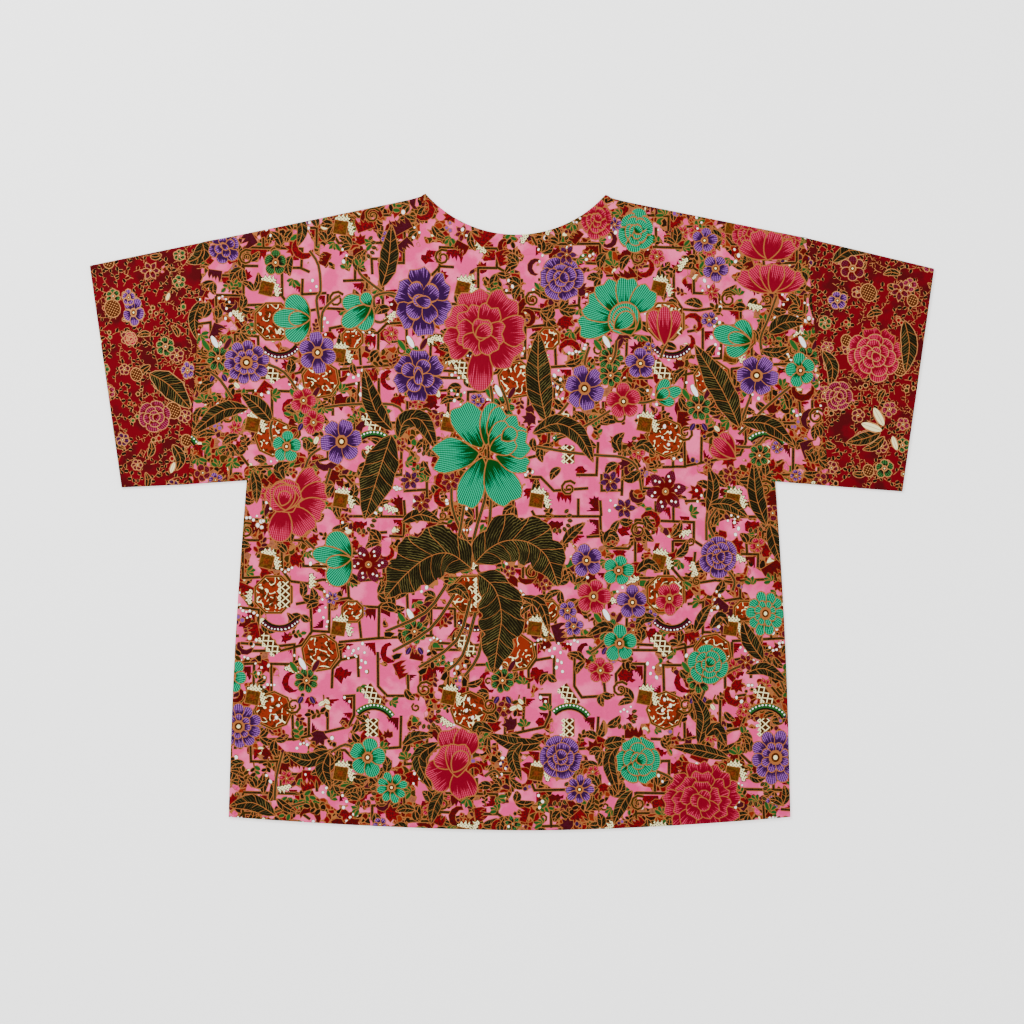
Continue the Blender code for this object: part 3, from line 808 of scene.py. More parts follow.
RIM_LEFT, RIM_RIGHT, RIM_TOP, RIM_FOOT = 215, 800, 215, 825
RIM_WIDTH = 70


def closeness(x, y):
    from_sides = np.minimum(x - RIM_LEFT, RIM_RIGHT - x)
    from_rim = np.minimum(from_sides, np.minimum(y - RIM_TOP, RIM_FOOT - y))
    close = 0.66 + 0.34 * np.clip(1 - from_rim / RIM_WIDTH, 0, 1)
    for middle_x, middle_y, half_width, half_height in CALM:
        reach = ((x - middle_x) / half_width) ** 2 + ((y - middle_y) / half_height) ** 2
        close = close - 0.5 * np.clip(1.4 - 1.4 * reach, 0, 1)
    return np.clip(close, 0.0, 1.0)


# The pink cloth is drawn from its ground up: fret, small growth, ornaments, stems, leaves and
# flowers. The small growth keeps clear of the flowers.
FILLER_ROWS = 50
FILLER_APART = 13.0
FILLER_START = (180, 190)
ORCHID = (484, 450)
ORCHID_REACH = 48
ROOT_TIPS = ((388, 634, 0), (396, 656, 20), (422, 671, 30), (444, 676, 60), (464, 682, 90))
ROOT_TIP = [(-6, -1), (-2, 2.6), (3.6, 2.2), (4, -2), (-1, -2.6)]

pink_cloth = []
hand = random.Random(11)
repeat_corners = [
    (REPEAT_CORNER[0] + REPEAT[0] * column, REPEAT_CORNER[1] + REPEAT[1] * line)
    for column in (-1, 0, 1, 2)
    for line in (-2, -1, 0, 1)
]
fret_ground(pink_cloth, hand, repeat_corners)
for line in range(FILLER_ROWS):
    for column in range(FILLER_ROWS):
        x = FILLER_START[0] + FILLER_APART * column + hand.uniform(-5, 5) + (6 if line % 2 else 0)
        y = FILLER_START[1] + FILLER_APART * line + hand.uniform(-5, 5)
        clear = math.dist((x, y), ORCHID) > ORCHID_REACH
        for rounds, flower_x, flower_y, radius, *looks in FLOWERS:
            clear = clear and math.dist((x, y), (flower_x, flower_y)) > radius * 0.95
        if hand.random() < closeness(x, y) and clear:
            filler(pink_cloth, hand, x, y)
for corner_x, corner_y in repeat_corners:
    ornaments(pink_cloth, hand, corner_x, corner_y)
for half_width, stems in STEMS:
    for places in stems:
        path = eased(route(places), 3)
        width = np.linspace(half_width, half_width * 0.8, len(path)) * 1.15
        stroke(pink_cloth, path, width, "leaf_dark", 0.85, "leaf_green")
for x, y, turn in ROOT_TIPS:
    lined(pink_cloth, placed(ROOT_TIP, x, y, turn + 180), "fill", "leaf_dark")
for half_width, midrib in LOBED_LEAVES:
    leaf(pink_cloth, half_width, midrib, LOBES)
for half_width, midrib in LEAVES:
    leaf(pink_cloth, half_width, midrib)
for values in FLOWERS:
    bloom(pink_cloth, hand, *values)
for x, y, colour, petals in HAND_DRAWN:
    for turn, foot, length, half_width, frill in petals:
        at = ahead(chart(x, y), turn, foot)
        dark = hand.uniform(0.44, 0.6) + DEEPER[colour]
        petal(pink_cloth, at, turn, length, half_width, COLOURS[colour][:2], frill, dark, 0.6, 1.1)


# The cloth's finish: dyed cotton, matt, in a plain weave, a little uneven in its dye. Each shape is
# drawn in its own manner from where a place lies along and across it, in millimetres, and what is
# uneven has its scale to the metre.
WHITE = (1.0, 1.0, 1.0, 1.0)
THREAD_APART = 0.00053
MOSAIC = (
    (0.0, "crimson"), (0.17, "bark"), (0.3, "tan"), (0.37, "coffee"), (0.46, "maroon"), (0.54, "pink"),
    (0.62, "fern"), (0.68, "rust"), (0.77, "leaf_dark"), (0.85, "deep_crimson"), (0.93, "pale_pink"),
    (0.97, "cream"),
)


def printed_cotton(name, wax):
    material = bpy.data.materials.new(name)
    material.use_nodes = True
    tree = material.node_tree
    shader = tree.nodes["Principled BSDF"]
    shader.inputs["Roughness"].default_value = 0.82
    shader.inputs["Specular IOR Level"].default_value = 0.06
    shader.inputs["Sheen Weight"].default_value = 0.015
    shader.inputs["Sheen Roughness"].default_value = 0.5

    def put(socket, value):
        if isinstance(value, bpy.types.NodeSocket):
            tree.links.new(value, socket)
        else:
            socket.default_value = value

    def reckon(operation, *values):
        node = tree.nodes.new("ShaderNodeMath")
        node.operation = operation
        for socket, value in zip(node.inputs, values):
            put(socket, value)
        return node.outputs[0]

    def plus(total, *values):
        for value in values:
            total = reckon("ADD", total, value)
        return total

    def times(total, *values):
        for value in values:
            total = reckon("MULTIPLY", total, value)
        return total

    def minus(value, other):
        return reckon("SUBTRACT", value, other)

    def share_of(value, length):
        """How far a value is on its way through each length, from 0 to 1."""
        return reckon("FRACT", reckon("DIVIDE", value, length))

    def size_of(value):
        return reckon("ABSOLUTE", value)

    def below(value, limit):
        return reckon("LESS_THAN", value, limit)

    def past(value, limit):
        return reckon("GREATER_THAN", value, limit)

    def step(value, low, high):
        node = tree.nodes.new("ShaderNodeMapRange")
        put(node.inputs["Value"], value)
        node.inputs["From Min"].default_value = low
        node.inputs["From Max"].default_value = high
        return node.outputs["Result"]

    def choose(share, first, second):
        """first where share is 0 and second where it is 1, for plain numbers."""
        node = tree.nodes.new("ShaderNodeMix")
        for socket, value in (("Factor", share), ("A", first), ("B", second)):
            put(node.inputs[socket], value)
        return node.outputs["Result"]

    def mix(share, first, second, blend="MIX"):
        """The same for colours."""
        node = tree.nodes.new("ShaderNodeMix")
        node.data_type = "RGBA"
        node.blend_type = blend
        for socket, value in (("Factor", share), (6, first), (7, second)):
            put(node.inputs[socket], value)
        return node.outputs[2]

    def field(name):
        node = tree.nodes.new("ShaderNodeAttribute")
        node.attribute_name = name
        return node.outputs

    def parts(value):
        node = tree.nodes.new("ShaderNodeSeparateXYZ")
        put(node.inputs[0], value)
        return node.outputs[:3]

    def uneven(scale, place, detail, shape="3D"):
        node = tree.nodes.new("ShaderNodeTexNoise")
        node.noise_dimensions = shape
        node.inputs["Scale"].default_value = scale
        node.inputs["Detail"].default_value = detail
        put(node.inputs["W" if shape == "1D" else "Vector"], place)
        return node.outputs["Fac"]

    def wave(value, length):
        return reckon("COSINE", times(value, 2 * math.pi / length))

    def is_manner(first, *others):
        found = [reckon("COMPARE", manner, float(MANNERS.index(name)), 0.4) for name in (first, *others)]
        return plus(*found)

    def colour_of(ink_name):
        return (*dye(ink_name), 1.0)

    gold, cream = colour_of("gold"), colour_of("cream")
    place = tree.nodes.new("ShaderNodeTexCoord").outputs["Object"]
    ink, shade = field("ink")["Color"], field("shade")["Color"]
    across, along, share = parts(field("stroke")["Vector"])
    manner, seed, dark = parts(field("manner")["Vector"])
    width, length, blunt = parts(field("extent")["Vector"])
    aside, onward = size_of(across), size_of(along)
    grain = uneven(620.0, place, 1.0)

    # Petals: a deep base with jagged hand-drawn teeth, then rows of light dashes between dark lines
    row_apart, dash_apart = 2.1, 2.3
    on_petal = reckon("MINIMUM", reckon("MAXIMUM", share, 0.0), 1.0)
    body = reckon("SQRT", times(on_petal, minus(1.0, on_petal)))
    body = times(body, 2.0, width, reckon("POWER", on_petal, times(blunt, 0.5)))
    fan = reckon("DIVIDE", across, plus(times(on_petal, 0.55), 0.5))
    teeth = uneven(1.0, plus(times(fan, 0.62), times(seed, 7.3)), 2.0, "1D")
    reach = minus(share, plus(times(teeth, 1.0), minus(dark, 0.5)))
    light_part = step(reach, -0.02, 0.03)
    rows = wave(plus(fan, times(seed, 3.0)), row_apart)
    beads = wave(plus(along, times(rows, 0.5)), dash_apart)
    dashes = step(plus(rows, times(beads, 0.6)), 0.25, 0.75)
    lines = step(rows, 0.3, -0.4)
    petal_colour = mix(times(lines, 0.8), ink, shade)
    paler = tree.nodes.new("ShaderNodeGamma")
    paler.inputs["Gamma"].default_value = 0.66
    put(paler.inputs["Color"], ink)
    petal_colour = mix(times(dashes, 0.75), petal_colour, paler.outputs["Color"])
    petal_colour = mix(light_part, shade, petal_colour)

    # Leaves: gold midrib and veins, and slanting green hatching on the dark ground
    vein_width, midrib_width, hatch_apart = 0.52, 0.38, 3.1
    slant = minus(along, times(aside, 0.9))
    vein_apart = plus(times(length, 0.07), 7.0)
    vein = times(share_of(plus(slant, times(aside, aside, 0.018)), vein_apart), vein_apart)
    broken = uneven(330.0, place, 1.0)
    hatch = step(plus(wave(plus(slant, times(broken, 2.4)), hatch_apart), times(broken, 1.1)), 1.0, 1.35)
    patchy = plus(times(step(uneven(80.0, place, 1.0), 0.4, 0.58), 0.7), 0.3)
    leaf_colour = mix(times(hatch, dark, patchy), ink, shade)
    ribs = reckon("MAXIMUM", below(vein, vein_width), below(aside, midrib_width))
    leaf_colour = mix(ribs, leaf_colour, gold)

    # Discs, flowers' hearts and speckled squares
    radius = reckon("POWER", reckon("DIVIDE", aside, dark), 2.0)
    radius = reckon("SQRT", plus(times(along, along), radius))
    speckled = mix(times(step(grain, 0.46, 0.56), 0.85), ink, shade)
    heart_colour = mix(below(radius, times(width, 0.72)), gold, colour_of("umber"))
    heart_colour = mix(below(radius, times(width, 0.36)), heart_colour, cream)
    square = reckon("MAXIMUM", aside, onward)
    middle = times(step(plus(square, times(grain, 7.0)), 7.2, 4.2), 0.6)
    square_colour = mix(middle, speckled, colour_of("rust"))

    # Seeds with a line down the middle, bands with a lighter middle, and arcs with a row of dots
    dot_apart, dot_aside, dot_size = 3.3, -1.5, 0.62
    seed_colour = mix(times(below(aside, 0.35), 0.6), ink, shade)
    band_colour = mix(times(below(aside, times(width, 0.3)), 0.6), ink, shade)
    dot_along = times(minus(share_of(along, dot_apart), 0.5), dot_apart)
    dot_across = minus(across, dot_aside)
    dot = plus(times(dot_along, dot_along), times(dot_across, dot_across))
    arc_colour = mix(past(across, 1.2), ink, shade)
    arc_colour = mix(below(dot, dot_size), arc_colour, colour_of("white"))

    # Eight-sided rust fields with cream squiggles and a double border
    eight = reckon("MAXIMUM", square, times(plus(aside, onward), 0.7071))
    squiggle = below(size_of(minus(uneven(150.0, place, 0.0), 0.5)), 0.034)
    squiggle = times(squiggle, past(uneven(270.0, place, 0.0), 0.46))
    worms_colour = mix(step(uneven(220.0, place, 2.0), 0.5, 0.58), ink, shade)
    worms_colour = mix(squiggle, worms_colour, cream)
    for beyond, border in ((0.0, "gold"), (0.7, "bark"), (1.9, "gold")):
        worms_colour = mix(past(minus(eight, width), beyond), worms_colour, colour_of(border))

    # Cream lattices of one row of diamonds, and white lace with dark holes
    diamond_length, diamond_height, thread = 7.0, 7.6, 0.75
    zigzag = times(size_of(minus(share_of(along, diamond_length), 0.5)), diamond_height)
    lattice_colour = mix(below(size_of(minus(aside, zigzag)), thread), ink, shade)
    holes = past(times(wave(along, 3.5), wave(plus(across, 0.2), 3.2)), 0.42)
    lace_colour = mix(holes, ink, shade)

    # The bare ground, and over part of it a close mosaic of small waxed shapes
    warp = tree.nodes.new("ShaderNodeTexNoise")
    warp.inputs["Scale"].default_value = 120.0
    warp.inputs["Detail"].default_value = 1.0
    put(warp.inputs["Vector"], place)
    shifted = tree.nodes.new("ShaderNodeVectorMath")
    shifted.operation = "MULTIPLY_ADD"
    for socket, value in zip(shifted.inputs, (warp.outputs["Color"], (0.008, 0.008, 0.0), place)):
        put(socket, value)
    cells, borders = (tree.nodes.new("ShaderNodeTexVoronoi") for _ in range(2))
    borders.feature = "DISTANCE_TO_EDGE"
    for node in (cells, borders):
        node.inputs["Scale"].default_value = 175.0
        put(node.inputs["Vector"], shifted.outputs["Vector"])
    palette = tree.nodes.new("ShaderNodeValToRGB")
    palette.color_ramp.interpolation = "CONSTANT"
    for number, (start, ink_name) in enumerate(MOSAIC):
        if number > 1:
            palette.color_ramp.elements.new(start)
        stop = palette.color_ramp.elements[number]
        stop.position = start
        stop.color = colour_of(ink_name)
    put(palette.inputs["Fac"], parts(cells.outputs["Color"])[0])
    mosaic = mix(times(step(grain, 0.45, 0.6), 0.35), palette.outputs["Color"], colour_of("coffee"))
    mosaic = mix(below(borders.outputs["Distance"], 0.075), mosaic, gold)
    spread = plus(uneven(42.0, place, 2.5), times(across, 0.25))
    bare = mix(times(step(uneven(48.0, place, 3.0), 0.47, 0.6), 0.75), ink, shade)
    ground_colour = mix(past(spread, 0.708), bare, gold)
    ground_colour = mix(past(spread, 0.718), ground_colour, mosaic)

    colour = speckled
    for manner_name, drawn in (
        ("petal", petal_colour),
        ("seed", seed_colour),
        ("leaf", leaf_colour),
        ("disc", ink),
        ("heart", heart_colour),
        ("band", band_colour),
        ("square", square_colour),
        ("worms", worms_colour),
        ("lattice", lattice_colour),
        ("lace", lace_colour),
        ("arc", arc_colour),
        ("ground", ground_colour),
    ):
        colour = mix(is_manner(manner_name), colour, drawn)

    # The wax line, past each shape's half width or radius
    reached = choose(is_manner("disc", "heart"), aside, radius)
    reached = choose(is_manner("square"), reached, square)
    limit = choose(is_manner("petal", "seed"), width, body)
    limit = choose(is_manner("fill", "worms", "lace", "ground"), limit, NO_EDGE)
    worn_wax = mix(0.35, colour_of(wax), colour_of("tan"))
    wax_colour = mix(step(uneven(260.0, place, 1.0), 0.42, 0.6), colour_of(wax), worn_wax)
    colour = mix(past(reached, limit), colour, wax_colour)

    # Blotches and flecks of the dye
    blotch = mix(step(uneven(38.0, place, 4.0), 0.3, 0.7), (0.62, 0.55, 0.6, 1.0), WHITE)
    colour = mix(0.14, colour, blotch, "MULTIPLY")
    fleck = mix(step(uneven(900.0, place, 2.0), 0.35, 0.65), (0.3, 0.3, 0.3, 1.0), WHITE)
    colour = mix(0.12, colour, fleck, "MULTIPLY")
    put(shader.inputs["Base Color"], colour)

    # Plain weave, two threads to a millimetre
    x, y, _ = parts(place)
    bump = tree.nodes.new("ShaderNodeBump")
    bump.inputs["Strength"].default_value = 0.25
    bump.inputs["Distance"].default_value = 0.00006
    put(bump.inputs["Height"], times(wave(x, THREAD_APART), wave(y, THREAD_APART)))
    put(shader.inputs["Normal"], bump.outputs["Normal"])
    return material


pink_batik = printed_cotton("pink_batik", "gold")


def within(places, outline):
    """Which of the places lie in a closed outline."""
    x, y = places[:, :1], places[:, 1:]
    ax, ay = outline[:, 0], outline[:, 1]
    bx, by = np.roll(ax, -1), np.roll(ay, -1)
    spans = (ay > y) != (by > y)
    reach = ax + (y - ay) * (bx - ax) / np.where(by == ay, 1e-9, by - ay)
    return ((spans & (x < reach)).sum(axis=1) % 2).astype(bool)


SMALLEST_COVER = 30


def uncovered(shapes):
    """The drawing without the shapes that a later one of some size hides."""
    points = np.vstack([shape.points for shape in shapes])
    counts = np.array([len(shape.points) for shape in shapes])
    owners = np.repeat(np.arange(len(shapes)), counts)
    order = np.argsort(points[:, 1])
    heights = points[order, 1]
    hidden = np.zeros(len(shapes), bool)
    for number, shape in enumerate(shapes):
        low, high = shape.points.min(axis=0), shape.points.max(axis=0)
        if (high - low).prod() < SMALLEST_COVER:
            continue
        first, last = np.searchsorted(heights, (low[1], high[1]))
        near = order[first:last]
        near = near[(points[near, 0] > low[0]) & (points[near, 0] < high[0]) & (owners[near] < number)]
        if len(near):
            inside = near[within(points[near], shape.points)]
            hidden[:number] |= np.bincount(owners[inside], minlength=number) == counts[:number]
    return [shape for shape, lost in zip(shapes, hidden) if not lost]


def on_top(points, corners, shapes):
    """The shape on top of each triangle, or -1 for the bare ground."""
    middles = points[corners].mean(axis=1)
    order = np.argsort(middles[:, 1])
    heights = middles[order, 1]
    owner = np.full(len(corners), -1)
    for number, shape in enumerate(shapes):
        low, high = shape.points.min(axis=0), shape.points.max(axis=0)
        first, last = np.searchsorted(heights, (low[1], high[1]))
        near = order[first:last]
        x = middles[near, 0]
        near = near[(x > low[0]) & (x < high[0])]
        if len(near):
            owner[near[within(middles[near], shape.points)]] = number
    return owner


SAME_PLACE = 1e-3
STRAIGHT = 0.02
BATCHES = 60


def split(places, edges, outline):
    """Triangles between given edges, within an outline that is one of them."""
    made = delaunay_2d_cdt([Vector(place) for place in places], edges, [], 0, SAME_PLACE)
    points = np.array([tuple(place) for place in made[0]])
    corners = np.array([tuple(face) for face in made[2]])
    middles = points[corners].mean(axis=1)
    inside = np.concatenate([within(part, outline) for part in np.array_split(middles, BATCHES)])
    return points, corners[inside]


def drawn_lines(points, corners, looks):
    """The edges where one look meets another, or the cloth ends, each as long as it is straight."""
    seen, meets = {}, {}
    for look, (a, b, c) in zip(looks.tolist(), corners.tolist()):
        for edge in ((a, b), (b, c), (c, a)):
            other = seen.pop((edge[1], edge[0]), None)
            if other is None:
                seen[edge] = look
            elif other != look:
                meets.setdefault(edge[0], set()).add(edge[1])
                meets.setdefault(edge[1], set()).add(edge[0])
    ends = {a for edge in seen for a in edge}
    for a, b in seen:
        meets.setdefault(a, set()).add(b)
        meets.setdefault(b, set()).add(a)
    for middle in [m for m, near in meets.items() if len(near) == 2 and m not in ends]:
        a, b = meets[middle]
        (ax, ay), (bx, by) = points[a] - points[middle], points[b] - points[middle]
        straight = abs(ax * by - ay * bx) < STRAIGHT * math.hypot(ax - bx, ay - by)
        if b not in meets[a] and ax * bx + ay * by < 0 and straight:
            meets[a] ^= {middle, b}
            meets[b] ^= {middle, a}
            del meets[middle]
    return [(a, b) for a, near in meets.items() for b in near if a < b]


def rim_of(triangles):
    """The loop of edges that only one triangle has, and that triangle of each."""
    seen = {}
    for number, (a, b, c) in enumerate(triangles):
        for edge in ((a, b), (b, c), (c, a)):
            if (edge[1], edge[0]) in seen:
                del seen[edge[1], edge[0]]
            else:
                seen[edge] = number
    follow = {a: b for a, b in seen}
    start = next(iter(follow))
    loop = [start]
    while follow[loop[-1]] != start and len(loop) <= len(follow):
        loop.append(follow[loop[-1]])
    if len(loop) != len(seen):
        raise RuntimeError(f"the cloth has {len(seen)} rim edges, but its outline only {len(loop)}")
    return loop, [seen[a, follow[a]] for a in loop]


def finder(places):
    """A search tree for the nearest of some places."""
    tree = KDTree(len(places))
    for number, place in enumerate(places):
        tree.insert((place[0], place[1], 0.0), number)
    tree.balance()
    return tree


def cut(outline, shapes, lines, grid):
    """Cuts flat cloth along its outline, the seen edges of the drawn shapes and the given lines,
    with loose points between them in rows a grid apart. Gives the points, the triangles and the
    shape on top of each, or -1 for the bare ground."""
    low, high = outline.min(axis=0), outline.max(axis=0)
    kept = []
    for number, shape in enumerate(shapes):
        meets_box = (shape.points.max(axis=0) > low).all() and (shape.points.min(axis=0) < high).all()
        if meets_box and within(shape.points, outline).any():
            kept.append(number)
    present = [shapes[number] for number in kept]
    places, edges = [], []
    for points in [outline] + [shape.points for shape in present]:
        start, count = len(places), len(points)
        places.extend(points)
        edges.extend((start + i, start + (i + 1) % count) for i in range(count))
    points, corners = split(places, edges, outline)
    outline = points[rim_of(corners.tolist())[0]]

    plain, looks = {}, []
    for number, shape in enumerate(present):
        is_plain = shape.manner == "fill"
        looks.append(plain.setdefault((shape.ink, shape.shade), number) if is_plain else number)
    looks.append(-1)
    meets = drawn_lines(points, corners, np.array(looks)[on_top(points, corners, present)])
    used = sorted({place for edge in meets for place in edge})
    numbers = {place: number for number, place in enumerate(used)}
    places = [points[place] for place in used]
    edges = [(numbers[a], numbers[b]) for a, b in meets]
    for line in lines:
        start = len(places)
        places.extend(line)
        edges.extend((start + i, start + i + 1) for i in range(len(line) - 1))
    tree = finder(places)
    across = np.arange(low[0] + grid / 2, high[0], grid)
    up = np.arange(low[1] + grid / 2, high[1], grid * 0.87)
    loose = np.array([(x + (grid / 2 if i % 2 else 0), y) for i, y in enumerate(up) for x in across])
    loose = loose[within(loose, outline)]
    clear = grid * 0.42
    places.extend(p for p in loose if tree.find((p[0], p[1], 0.0))[2] > clear)
    points, corners = split(places, edges, outline)
    owner = np.array(kept + [-1])[on_top(points, corners, present)]
    used, where = np.unique(corners, return_inverse=True)
    return points[used], where.reshape(-1, 3), owner


def along_line(places, line):
    """Distance aside of a line and along it, for each place, and the line's stations."""
    runs = np.diff(line, axis=0)
    lengths = np.linalg.norm(runs, axis=1)
    runs = runs / lengths[:, None]
    stations = np.concatenate([[0], np.cumsum(lengths)])
    from_start = places[:, None, :] - line[None, :-1, :]
    along = (from_start * runs).sum(axis=2)
    across = from_start[..., 1] * runs[:, 0] - from_start[..., 0] * runs[:, 1]
    held = along if len(runs) == 1 else np.clip(along, 0, lengths)
    off = np.hypot(across, along - held)
    best = off.argmin(axis=1)
    rows = np.arange(len(places))
    return across[rows, best], stations[best] + held[rows, best], stations


FACE_GRID = 9.0
INNER_GRID = 14.0
EDGE_RINGS = (0.7, 1.5, 2.8)


def inset_rings(outline):
    """Lines a little way in from the outline, for its edge to roll on."""
    rings = [widened(outline, -depth) for depth in EDGE_RINGS]
    return [np.vstack([line, line[:1]]) for line in rings]


def cloth_piece(name, outline, shapes, bare, lines, surface, material, inner=(), folds=(), face_down=False):
    """A closed shell of cloth: the printed face, cut to its outline, its drawing and the lines it
    bends on, the other face with the dye gone through from inner, and the rim between them.
    surface gives the height of a face's points."""
    points, corners, owner = cut(outline, shapes, inset_rings(outline) + lines, FACE_GRID)
    loop, rim_owner = rim_of(corners.tolist())
    inner_points, inner_corners, inner_owner = cut(points[loop], inner, folds, INNER_GRID)
    inner_owner = np.where(inner_owner < 0, -1, inner_owner + len(shapes))
    tree = finder(inner_points)
    twins = [tree.find((*points[i], 0.0))[1] for i in loop]

    first_inner = len(points)
    flat = np.vstack([points, inner_points])
    outer_loop = np.array(loop)
    inner_loop = np.array(twins) + first_inner
    next_outer, next_inner = np.roll(outer_loop, -1), np.roll(inner_loop, -1)
    rim_a = np.column_stack([outer_loop, inner_loop, next_inner])
    rim_b = np.column_stack([outer_loop, next_inner, next_outer])
    faces = np.vstack([corners, inner_corners[:, ::-1] + first_inner, rim_a, rim_b])
    owners = np.concatenate([owner, inner_owner, owner[rim_owner], owner[rim_owner]])
    if face_down:
        faces = faces[:, ::-1]

    drawn = [*shapes, *inner, Shape(outline[:3], "ground", *bare)]
    inks = np.array([dye(shape.ink) for shape in drawn])
    shades = np.array([dye(shape.shade) for shape in drawn])
    seeds = [(number * 0.377) % 1.0 * 10 for number in range(len(drawn))]
    manners = np.array([(MANNERS.index(s.manner), seed, s.dark) for s, seed in zip(drawn, seeds)])
    strokes = np.zeros((len(faces), 3, 3))
    extents = np.full((len(faces), 3, 3), NO_EDGE)
    order = np.argsort(owners, kind="stable")
    groups = np.searchsorted(owners[order], np.arange(len(drawn)))
    for number, shape in enumerate(drawn[:-1]):
        mine = order[groups[number] : groups[number + 1]]
        if shape.line is None or not len(mine):
            continue
        across, along, stations = along_line(flat[faces[mine].ravel()], shape.line)
        width = shape.width if np.ndim(shape.width) == 0 else np.interp(along, stations, shape.width)
        values = np.column_stack([across, along, along / stations[-1]])
        strokes[mine] = values.reshape(-1, 3, 3)
        values = np.column_stack([np.broadcast_to(width, len(along)), np.full(len(along), stations[-1])])
        extents[mine, :, :2] = values.reshape(-1, 3, 2)
        extents[mine, :, 2] = shape.blunt
    if bare[0] == "pink":
        open_ground = owners < 0
        where = flat[faces[open_ground]]
        across = -where[..., 0] if face_down else where[..., 0]
        strokes[open_ground, :, 0] = closeness(*chart_of(across, where[..., 1]))

    height = np.vstack([surface(points, 0), surface(inner_points, 1)])
    mesh = bpy.data.meshes.new(name)
    mesh.from_pydata((height / 1000).tolist(), [], faces.tolist())
    for label, values in (("ink", inks), ("shade", shades)):
        layer = mesh.attributes.new(label, "FLOAT_COLOR", "CORNER")
        data = np.repeat(values[owners], 3, axis=0)
        data = np.column_stack([data, np.ones(len(data))])
        layer.data.foreach_set("color", data.astype(np.float32).ravel())
    manners = np.repeat(manners[owners], 3, axis=0)
    for label, values in (("manner", manners), ("stroke", strokes), ("extent", extents)):
        layer = mesh.attributes.new(label, "FLOAT_VECTOR", "CORNER")
        layer.data.foreach_set("vector", values.astype(np.float32).ravel())
    mesh.materials.append(material)
    mesh.shade_smooth()
    piece = bpy.data.objects.new(name, mesh)
    bpy.context.scene.collection.objects.link(piece)
    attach(piece, "root")
    return piece


# Back and front panels
# Each is cut in one with its half sleeves and sewn to the other along the shoulders and sides.
# The back lies on top, its face up, and the front under it, its face down on the floor. Heights
# and widths of the cloth, its wall, hems and seams are in millimetres.
STACK = 2.7
WALL = 0.5
HEM_DEPTH = 15.0
SEAM_TUCK = 1.3
OUTLINE_STEP = 3.5
CALM_EDGE = 14.0
FAR_FROM_EDGE = 20.0
SLEEVE_SEAM_FROM = 290
HEM_BELOW = -290
NECK_ABOVE = 150
NECK_SPAN = (-88, 95)
SCOOP_HALF_WIDTH = 110
SHARP_CORNER = 14
BEND_SHARES = (-1.8, -0.9, 0.0, 0.9, 1.8)
INNER_ROLL = 0.85
HEM_THICKER = 0.45
CUFF_THICKER = 0.35

# Swells of the cloth: middle, half length, half width, turn and rise
SWELLS = (
    (-150, 150, 110, 55, 62, 1.7), (120, 130, 100, 50, -50, 1.3), (-10, -20, 170, 50, 84, 1.1),
    (-170, -130, 120, 48, 76, 1.5), (190, -100, 130, 52, -80, 1.4), (60, -230, 130, 42, 8, 1.1),
    (-120, -262, 90, 34, -12, 0.9), (-268, 150, 85, 34, 70, 1.1), (262, 130, 85, 34, -68, 1.2),
    (222, 243, 66, 22, -3, 1.3), (150, 222, 60, 20, -76, 0.9),
)

# Creases pressed or worn into the cloth: height (below 0 is a trough), half width and places
CREASES = (
    (-0.7, 2.4, ((643, 205), (661, 232), (664, 270), (668, 300), (675, 350))),
    (-0.6, 2.6, ((663, 259), (700, 262), (760, 261), (806, 257))),
    (0.6, 4.0, ((668, 268), (700, 271), (760, 270), (800, 266))),
    (-0.45, 1.6, ((604, 660), (602, 700), (604, 765))), (-0.3, 1.4, ((608, 655), (608, 705), (609, 760))),
    (-0.35, 3.5, ((250, 478), (290, 440), (345, 418))), (0.6, 5.0, ((246, 452), (288, 415), (330, 396))),
    (-0.35, 3.5, ((772, 478), (735, 448), (690, 432))), (0.6, 5.0, ((778, 455), (744, 420), (705, 400))),
    (-0.25, 4.0, ((250, 640), (300, 622), (360, 628))),
    (-0.25, 4.5, ((520, 640), (560, 655), (622, 652))), (-0.3, 4.0, ((690, 600), (730, 622), (778, 618))),
    (0.5, 5.0, ((300, 690), (340, 655), (352, 612))),
    (-0.25, 3.0, ((420, 232), (470, 248), (520, 252), (575, 244), (602, 228))),
)
BACK_NECK_IMPRINT = (
    (-0.4, 1.2, ((418, 214), (435, 236), (460, 249), (490, 255), (530, 255), (556, 249), (580, 237),
        (600, 212))),
)
FRONT_CREASES = (
    (0.35, 4.0, ((430, 360), (400, 470), (408, 580))), (0.3, 3.5, ((600, 380), (640, 470), (632, 560))),
    (0.3, 4.0, ((250, 470), (300, 440), (350, 430))), (0.3, 4.0, ((772, 470), (730, 442), (690, 434))),
    (0.25, 4.5, ((300, 700), (400, 672), (470, 690))), (0.25, 3.5, ((560, 650), (660, 640), (740, 668))),
)


def cad_outline(node):
    """The node's outline from above, in millimetres, from the edges of its top."""
    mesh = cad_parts[node].data
    keys = [tuple(round(c * 1e6) for c in v.co) for v in mesh.vertices]
    places = {key: (v.co.x * 1000, v.co.y * 1000) for key, v in zip(keys, mesh.vertices)}
    top = [[keys[i] for i in face.vertices] for face in mesh.polygons if face.normal.z >= 0.5]
    return np.array([places[key] for key in rim_of(top)[0]])


